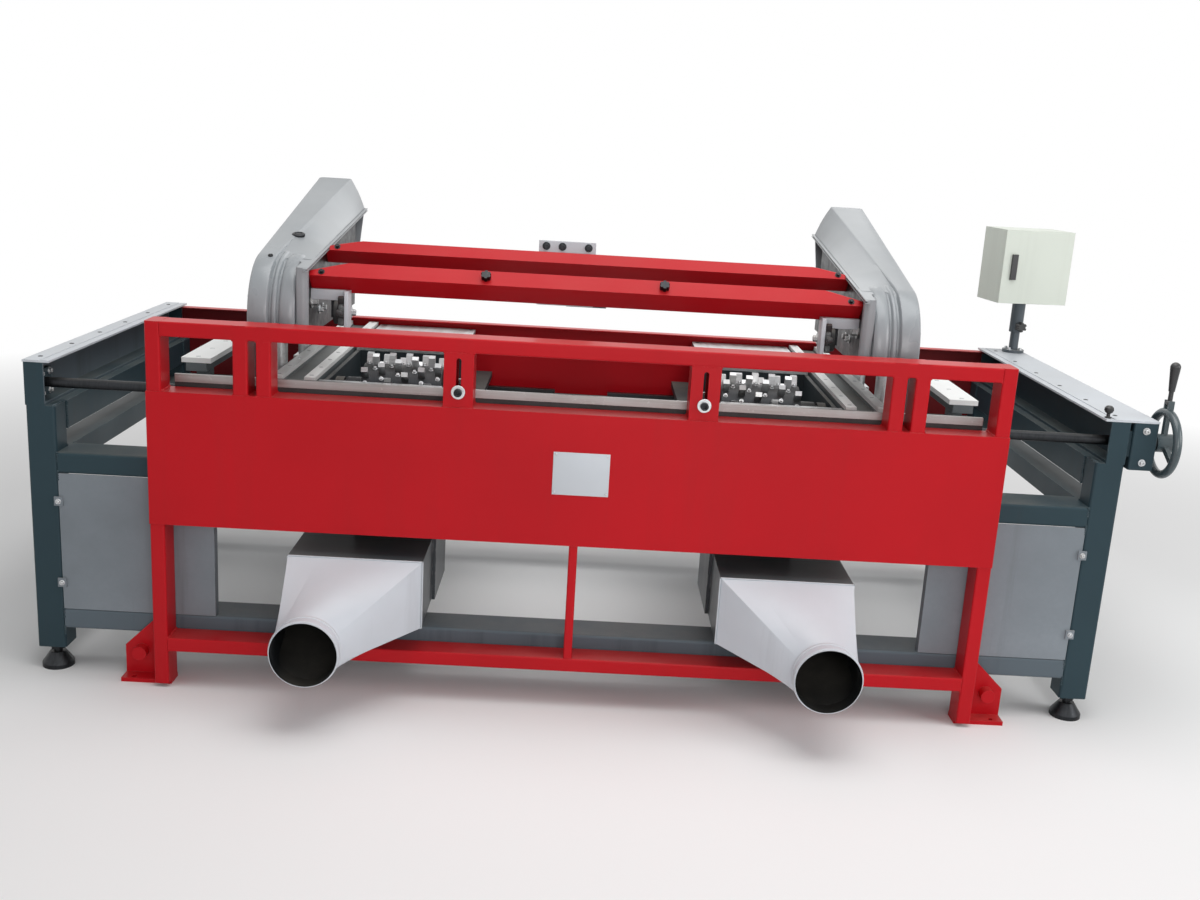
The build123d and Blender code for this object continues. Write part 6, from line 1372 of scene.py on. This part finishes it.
# %% Hood beads and seams
COLLAR_MIDDLE = (685, 236)
BEAD_DEPTHS = (-938, -906)
BEAD_RING = ((89.5, -4), (91.6, -3), (92.8, 0), (91.6, 3), (89.5, 4), (89.5, -4))
SEAM_DEPTHS = (-705, -701)
SEAM_BARS = (
    ((408, 226.5), (782, 230)),
    ((408, 420), (782, 423.5)),
    ((408, 226.5), (411.5, 423.5)),
    ((778.5, 226.5), (782, 423.5)),
)
for name, side in SIDES:
    hood_bm = bmesh.new()
    for along in BEAD_DEPTHS:
        lathe(hood_bm, BEAD_RING, (side * COLLAR_MIDDLE[0], along, COLLAR_MIDDLE[1]), TO_FRONT, 48)
    for (x0, z0), (x1, z1) in SEAM_BARS:
        side_block(hood_bm, side, (x0, SEAM_DEPTHS[0], z0), (x1, SEAM_DEPTHS[1], z1), 0.7)
    keep_piece(mesh_piece(f"hood_seams_{name}", hood_bm), f"carriage_{name}", "pale_paint")

# %% [markdown]
# ## Arm covers
#
# The arms are sheet-metal covers: an outer strip bent round a large radius, a narrow bead in a groove
# beside it, a crowned front band, and a wall that leans from a ridge down to a folded rim. Each is a sheet
# swept along the arm's side line. Solidify gives the sheets their thickness, once all their faces point
# outwards.


# %% Side line of the arms
ARM_FRONT = -540.0
ARM_REAR = 400.0
ARM_BOTTOM = 985.0
ARM_BEND = 170.0
ARM_SLOPE = 0.2243
ARM_TOP_START = (-340.0, 1226.0)
ARM_REAR_FOOT = 1292.0
SKIRT_REAR = 240.0
RIM_START = 1186.0
RIM_SLOPE = 0.116
WALL_FRONT = -399.0
RIDGE_LEAN = 54.0
FOLD_LOST = 0.8
FOLD_LENGTH = 160.0
FOOT_STEPS = 4
BEND_STEPS = 28
TOP_STEPS = 64


def arm_top(y):
    """Height of the arm's top at a depth."""
    return ARM_TOP_START[1] + ARM_SLOPE * (y - ARM_TOP_START[0])


def rim_line(y):
    """Height of the rim at a depth."""
    return RIM_START + RIM_SLOPE * (y - ARM_FRONT)


def ridge_shift(y):
    """How far the ridge has moved inwards at a depth, from the bend to the rear."""
    return RIDGE_LEAN * max(0.0, y - WALL_FRONT) / (ARM_REAR - WALL_FRONT)


def fold_share(y):
    """How sharply the strip's inner edge is folded: fully round the bend, slightly along the top."""
    return 1.0 - FOLD_LOST * min(1.0, max(0.0, y - WALL_FRONT) / FOLD_LENGTH)


def arm_side_line():
    """Points from the front's foot over the bend to the top's rear, each with its outward direction."""
    rise = math.atan(ARM_SLOPE)
    turn = math.pi / 2 - rise
    bend_foot = arm_top(ARM_FRONT) - ARM_BEND * math.tan(turn / 2)
    line = []
    for step in range(FOOT_STEPS):
        line.append(((ARM_FRONT, ARM_BOTTOM + (bend_foot - ARM_BOTTOM) * step / FOOT_STEPS), (-1.0, 0.0)))
    for step in range(BEND_STEPS + 1):
        angle = math.pi - turn * step / BEND_STEPS
        out = (math.cos(angle), math.sin(angle))
        line.append(((ARM_FRONT + ARM_BEND * (1 + out[0]), bend_foot + ARM_BEND * out[1]), out))
    bend_end = line[-1][0][0]
    for step in range(1, TOP_STEPS + 1):
        y = bend_end + (ARM_REAR - bend_end) * step / TOP_STEPS
        line.append(((y, arm_top(y)), (-math.sin(rise), math.cos(rise))))
    return line


arm_line = arm_side_line()
print("arm side line", len(arm_line), "points")

# %% [markdown]
# ### Sheets of one arm
#
# A profile is a list of places across the arm with how deep the sheet lies there. The outer strip's inner
# edge moves inwards along the top, because the ridge slants, and the wall follows it down to the rim.

# %% Arm sheets
OUTER_STRIP = (
    (930, 10), (929, 5), (926, 1.8), (918, 0.4), (900, 0), (883, 0.4), (877, 1.8), (874.5, 5), (873.5, 10),
)
BEAD = (
    (873.5, 9), (871, 13), (866, 13), (864, 7), (860.5, 4.5), (855, 4.5), (852, 7), (850, 13), (845, 13),
    (842.5, 9),
)
FRONT_BAND = (
    (842.5, 13), (841.5, 7), (838, 4), (830, 2), (820, 1.4), (811, 2), (804, 4), (800.5, 7), (799, 18),
)
EDGE_STRIP = (
    (799, -516), (797.5, -523), (793, -526.5), (782, -527.5), (771, -525.5), (766, -521), (764.5, -512),
)
EDGE_ROOF = (
    (-525.5, 772, 792), (-522, 767.5, 796.5), (-512, 766, 798), (-456, 766, 798), (-450, 766, 804),
    (-396, 766, 804),
)
EDGE_MIDDLE_X = 783
EDGE_WALL_X = 798
EDGE_WALL_DEPTHS = (-516, -486, -455)
EDGE_TOP_DEPTH = -526
EDGE_STEPS = 4
EDGE_LIFT = 0.6
BEAD_END = -322.0
BAND_END = -352.0
SINK_LENGTH = 46.0
SINK_DEPTH = 26.0
GROOVE_DEPTH = 18.0
GROOVE_LOST = 9.0
GROOVE_FADE_START = -480.0
GROOVE_FADE_LENGTH = 56.0
STRIP_FOLD = 883
WALL_STEPS = 8
WALL_BOW = 2.5
WALL_LAP = 25
WALL_FOOT_X = 774
SKIRT_INNER_X = 784
ROUND_THE_BEND = (0, -0.7, 0.7)


def sheet(bm, rows, outward):
    """A grid of faces through rows of points, turned so that it faces outwards."""
    verts = [[bm.verts.new(spot) for spot in row] for row in rows]
    faces = []
    for low, high in zip(verts, verts[1:]):
        for index in range(len(low) - 1):
            faces.append(bm.faces.new((low[index], low[index + 1], high[index + 1], high[index])))
    bm.normal_update()
    if faces[len(faces) // 2].normal.dot(Vector(outward)) < 0:
        bmesh.ops.reverse_faces(bm, faces=faces)


def panel(bm, corners, outward):
    """One flat face through its corners, turned so that it faces outwards."""
    face = bm.faces.new([bm.verts.new(spot) for spot in corners])
    face.normal_update()
    if face.normal.dot(Vector(outward)) < 0:
        face.normal_flip()


def under_line(across, point, depth):
    """A place across the arm that lies some depth under a point of the side line."""
    (y, z), out = point
    return Vector((across, y - depth * out[0], z - depth * out[1]))


def swept_rows(side, profile, last_y):
    """Rows of a profile along the arm's side line, which sinks into the cover towards its last depth."""
    rows = []
    for point in arm_line:
        y = point[0][0]
        if y > last_y:
            break
        share = max(0.0, 1.0 - (last_y - y) / SINK_LENGTH)
        sunk = SINK_DEPTH * share * share * (3 - 2 * share)
        faded = min(1.0, max(0.0, (y - GROOVE_FADE_START) / GROOVE_FADE_LENGTH))
        deepest = GROOVE_DEPTH - GROOVE_LOST * faded
        rows.append([under_line(side * x, point, min(inset, deepest) + sunk) for x, inset in profile])
    return rows


def outer_strip_rows(side):
    """Rows of the outer strip, whose inner edge follows the ridge."""
    rows = []
    for point in arm_line:
        y = point[0][0]
        row = []
        for x, inset in OUTER_STRIP:
            if x <= STRIP_FOLD:
                row.append(under_line(side * (x - ridge_shift(y)), point, inset * fold_share(y)))
            else:
                row.append(under_line(side * x, point, inset))
        rows.append(row)
    return rows


def wall_rows(side, strip_rows):
    """Rows of the leaning wall from the strip's inner edge down to the rim, a little bowed."""
    rows = []
    for point, strip in zip(arm_line, strip_rows):
        y = point[0][0]
        if y < WALL_FRONT - WALL_LAP:
            continue
        foot = Vector((side * WALL_FOOT_X, y, rim_line(y) + 1))
        row = []
        for step in range(WALL_STEPS + 1):
            share = step / WALL_STEPS
            bow = WALL_BOW * math.sin(math.pi * share)
            row.append(strip[-1].lerp(foot, share) + Vector((-side * bow, 0, bow)))
        rows.append(row)
    return rows


def edge_point(side, x, y):
    """A place on the roof of the front edge."""
    return Vector((side * x, y, rim_line(y) + EDGE_LIFT))


def arm_cover_sheets(bm, side):
    """All sheets of one arm cover."""
    strip_rows = outer_strip_rows(side)
    sheet(bm, strip_rows, ROUND_THE_BEND)
    sheet(bm, swept_rows(side, BEAD, BEAD_END), ROUND_THE_BEND)
    sheet(bm, swept_rows(side, FRONT_BAND, BAND_END), ROUND_THE_BEND)
    edge_rise = rim_line(EDGE_TOP_DEPTH) - ARM_BOTTOM
    heights = [ARM_BOTTOM + edge_rise * step / EDGE_STEPS for step in range(EDGE_STEPS + 1)]
    sheet(bm, [[Vector((side * x, y, z)) for x, y in EDGE_STRIP] for z in heights], TO_FRONT)
    roof = []
    for y, inner, outer in EDGE_ROOF:
        roof.append([edge_point(side, x, y) for x in (inner, EDGE_MIDDLE_X, outer)])
    sheet(bm, roof, UP)
    lower = [Vector((side * EDGE_WALL_X, y, ARM_BOTTOM)) for y in EDGE_WALL_DEPTHS]
    upper = [edge_point(side, EDGE_WALL_X, y) for y in EDGE_WALL_DEPTHS]
    sheet(bm, [lower, upper], (side, 0, 0))
    walls = wall_rows(side, strip_rows)
    sheet(bm, walls, (-side, 0, 1))
    rear = [Vector((side * x, ARM_REAR, ARM_REAR_FOOT)) for x in (ARM_OUTER_X, WALL_FOOT_X)]
    foot = [Vector((side * x, SKIRT_REAR, ARM_BOTTOM)) for x in (SKIRT_INNER_X, ARM_OUTER_X)]
    panel(bm, [*strip_rows[-1], *walls[-1][1:], rear[1], rear[0]], TO_BACK)
    panel(bm, [*rear, *foot], (0, 0.9, -0.4))
    panel(bm, [*(row[0] for row in strip_rows), rear[0], foot[1]], (side, 0, 0))


def thicken(piece, thickness):
    """Gives a sheet its thickness on the inner side, as a plain mesh."""
    modifier = piece.modifiers.new("sheet_thickness", "SOLIDIFY")
    modifier.thickness = thickness * MM
    modifier.offset = -1.0
    plain_mesh(piece, modifier).set_sharp_from_angle(angle=math.radians(32))


# %% [markdown]
# ### Rims of the arms
#
# Along the wall's foot the sheet is folded twice, which shows as two thin lips with a shadow between them.
# Bars that are sheared to the rim's slope make the lips.

# %% Arm covers and rims
SHEET_THICK = 3.0
RIM_SHEAR = Matrix(((1, 0, 0), (0, 1, 0), (0, RIM_SLOPE, 1)))
RIM_SPAN = (-534.0, 408.0)
RIM_LIPS = ((764.5, -3.4, 0.0), (769.0, -6.8, -3.4), (764.5, -10.0, -6.8))
RIM_OUTER_X = 778
rim_middle = rim_line(sum(RIM_SPAN) / 2)
for name, side in SIDES:
    cover_bm = bmesh.new()
    arm_cover_sheets(cover_bm, side)
    cover = mesh_piece(f"arm_cover_sheets_{name}", cover_bm, 32.0, turn_out=False)
    thicken(cover, SHEET_THICK)
    keep_piece(cover, "press", "pale_paint", arm_finish, [f"arm_cover_{name}"])
    rim_bm = bmesh.new()
    for lip_x, low, high in RIM_LIPS:
        first = (lip_x, RIM_SPAN[0], rim_middle + low)
        last = (RIM_OUTER_X, RIM_SPAN[1], rim_middle + high)
        side_block(rim_bm, side, first, last, 0.9, RIM_SHEAR)
    keep_piece(mesh_piece(f"arm_rim_{name}", rim_bm), "press", "pale_paint", arm_finish)

# %% [markdown]
# ## Fittings on the arms
#
# The left arm carries a flat round knob near its ridge and a small plug further down. Black hold-down shoes
# hang on grey plates beside the rollers, under the front bar.

# %% Arm fittings
TOP_FACING = Vector((0, -ARM_SLOPE, 1)).normalized()
KNOBS = ((-857, -227, 19), (-890, -427, 7))
HANGER_PLATES = (((664, -470, 1018), (676, -420, 1122)), ((676, -440, 1092), (775, -424, 1122)))
SHOE_HUB = ((0, 0), (22, 0), (24, 3), (24, 15), (20, 20), (9, 22), (0, 22))
SHOE_TEETH = 5
SHOE_TURN = 0.35
knob_bm = bmesh.new()
for knob_x, knob_y, size in KNOBS:
    profile = [(0, -9), (size * 0.8, -9), (size, -4), (size, 1), (size * 0.86, 3), (size * 0.62, 3.4)]
    profile += [(size * 0.56, 1.6), (size * 0.3, 2), (0, 2.4)]
    lathe(knob_bm, profile, (knob_x, knob_y, arm_top(knob_y)), TOP_FACING, 28)
keep_piece(mesh_piece("arm_knobs", knob_bm), "press", "dark_steel")

shoe_bm = bmesh.new()
plate_bm = bmesh.new()
tooth_half = Vector((8, 7, 13))
for side in BOTH_SIDES:
    for low, high in HANGER_PLATES:
        side_block(plate_bm, side, low, high, 1.5)
    hub = Vector((side * 676, -450, 1066))
    lathe(shoe_bm, SHOE_HUB, hub, (side, 0, 0), 24)
    for tooth in range(SHOE_TEETH):
        spoke = Matrix.Rotation(math.tau * tooth / SHOE_TEETH + SHOE_TURN, 3, "X")
        middle = hub + Vector((side * 10, 0, 0)) + spoke @ Vector((0, 0, 30))
        block(shoe_bm, middle - tooth_half, middle + tooth_half, 3.0, spoke)
keep_piece(mesh_piece("hold_down_plates", plate_bm), "press", "pale_paint")
keep_piece(mesh_piece("hold_down_shoes", shoe_bm), "press", "black_plastic")

# %% [markdown]
# ## Stop bolts
#
# Two bolts hold the stop bar and slide in the slots of the guard's posts. A bright washer spreads the pull
# of each bolt, and its black head has a deep socket for a key.

# %% Stop bolts
STOP_BOLT_X = 330
STOP_BOLT_Z = 898.0
HEAD_AND_WASHER = 15.0
WASHER_RING = ((6.2, 0), (18.2, 0), (19, 0.8), (19, 2.2), (18.2, 3), (6.2, 3), (6.2, 0))
bolt_low, bolt_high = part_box("stop_bar_bolts")
washer_back = bolt_low.y / MM + HEAD_AND_WASHER
shank = bolt_high.y / MM - washer_back
head = [(0, -shank), (6, -shank), (6, 3), (10.2, 3), (11, 3.8), (11, 14), (10, 15), (6.4, 15), (5.8, 14.4)]
head += [(5.8, 6), (0, 6)]
washer_bm = bmesh.new()
head_bm = bmesh.new()
for side in BOTH_SIDES:
    seat = (side * STOP_BOLT_X, washer_back, STOP_BOLT_Z)
    lathe(washer_bm, WASHER_RING, seat, TO_FRONT, 40)
    lathe(head_bm, head, seat, TO_FRONT, 30)
keep_piece(mesh_piece("stop_washers", washer_bm), "stop_bar", "steel", stands_for=["stop_bar_bolts"])
keep_piece(mesh_piece("stop_bolt_heads", head_bm), "stop_bar", "dark_steel")

# %% [markdown]
# ## Bare plate and cover knob
#
# A thin bare plate is riveted to the middle of the guard's panel, and a small black knob stands on the
# right cover.

# %% Plate and knob
PLATE_X, PLATE_SEAT, PLATE_Z = 10.0, -683.0, 690.0
PLATE_HALF = (77.0, 60.0)
PLATE_FRONT = PLATE_SEAT - 1.4
RIVET_HALF = (70, 53)
KNOB_PROFILE = ((0, 0), (9, 0), (9, 3), (5, 4), (5, 12), (10, 16), (13, 22), (12, 29), (7, 34), (0, 35))
KNOB_PLACE = (1462, -578, COVER_TOP)
plate_bm = bmesh.new()
low = (PLATE_X - PLATE_HALF[0], PLATE_FRONT, PLATE_Z - PLATE_HALF[1])
high = (PLATE_X + PLATE_HALF[0], PLATE_SEAT + 0.4, PLATE_Z + PLATE_HALF[1])
block(plate_bm, low, high, 0.6)
keep_piece(mesh_piece("bare_plate", plate_bm), "frame", "pale_paint")
plate_rivets = []
for across in (-RIVET_HALF[0], RIVET_HALF[0]):
    for up in (-RIVET_HALF[1], RIVET_HALF[1]):
        plate_rivets.append(((PLATE_X + across, PLATE_FRONT, PLATE_Z + up), TO_FRONT, 6))
fasten("plate_rivets", "frame", "rivets", plate_rivets)

knob_bm = bmesh.new()
lathe(knob_bm, KNOB_PROFILE, KNOB_PLACE, UP, 24)
keep_piece(mesh_piece("cover_knob", knob_bm), "frame", "black_plastic")
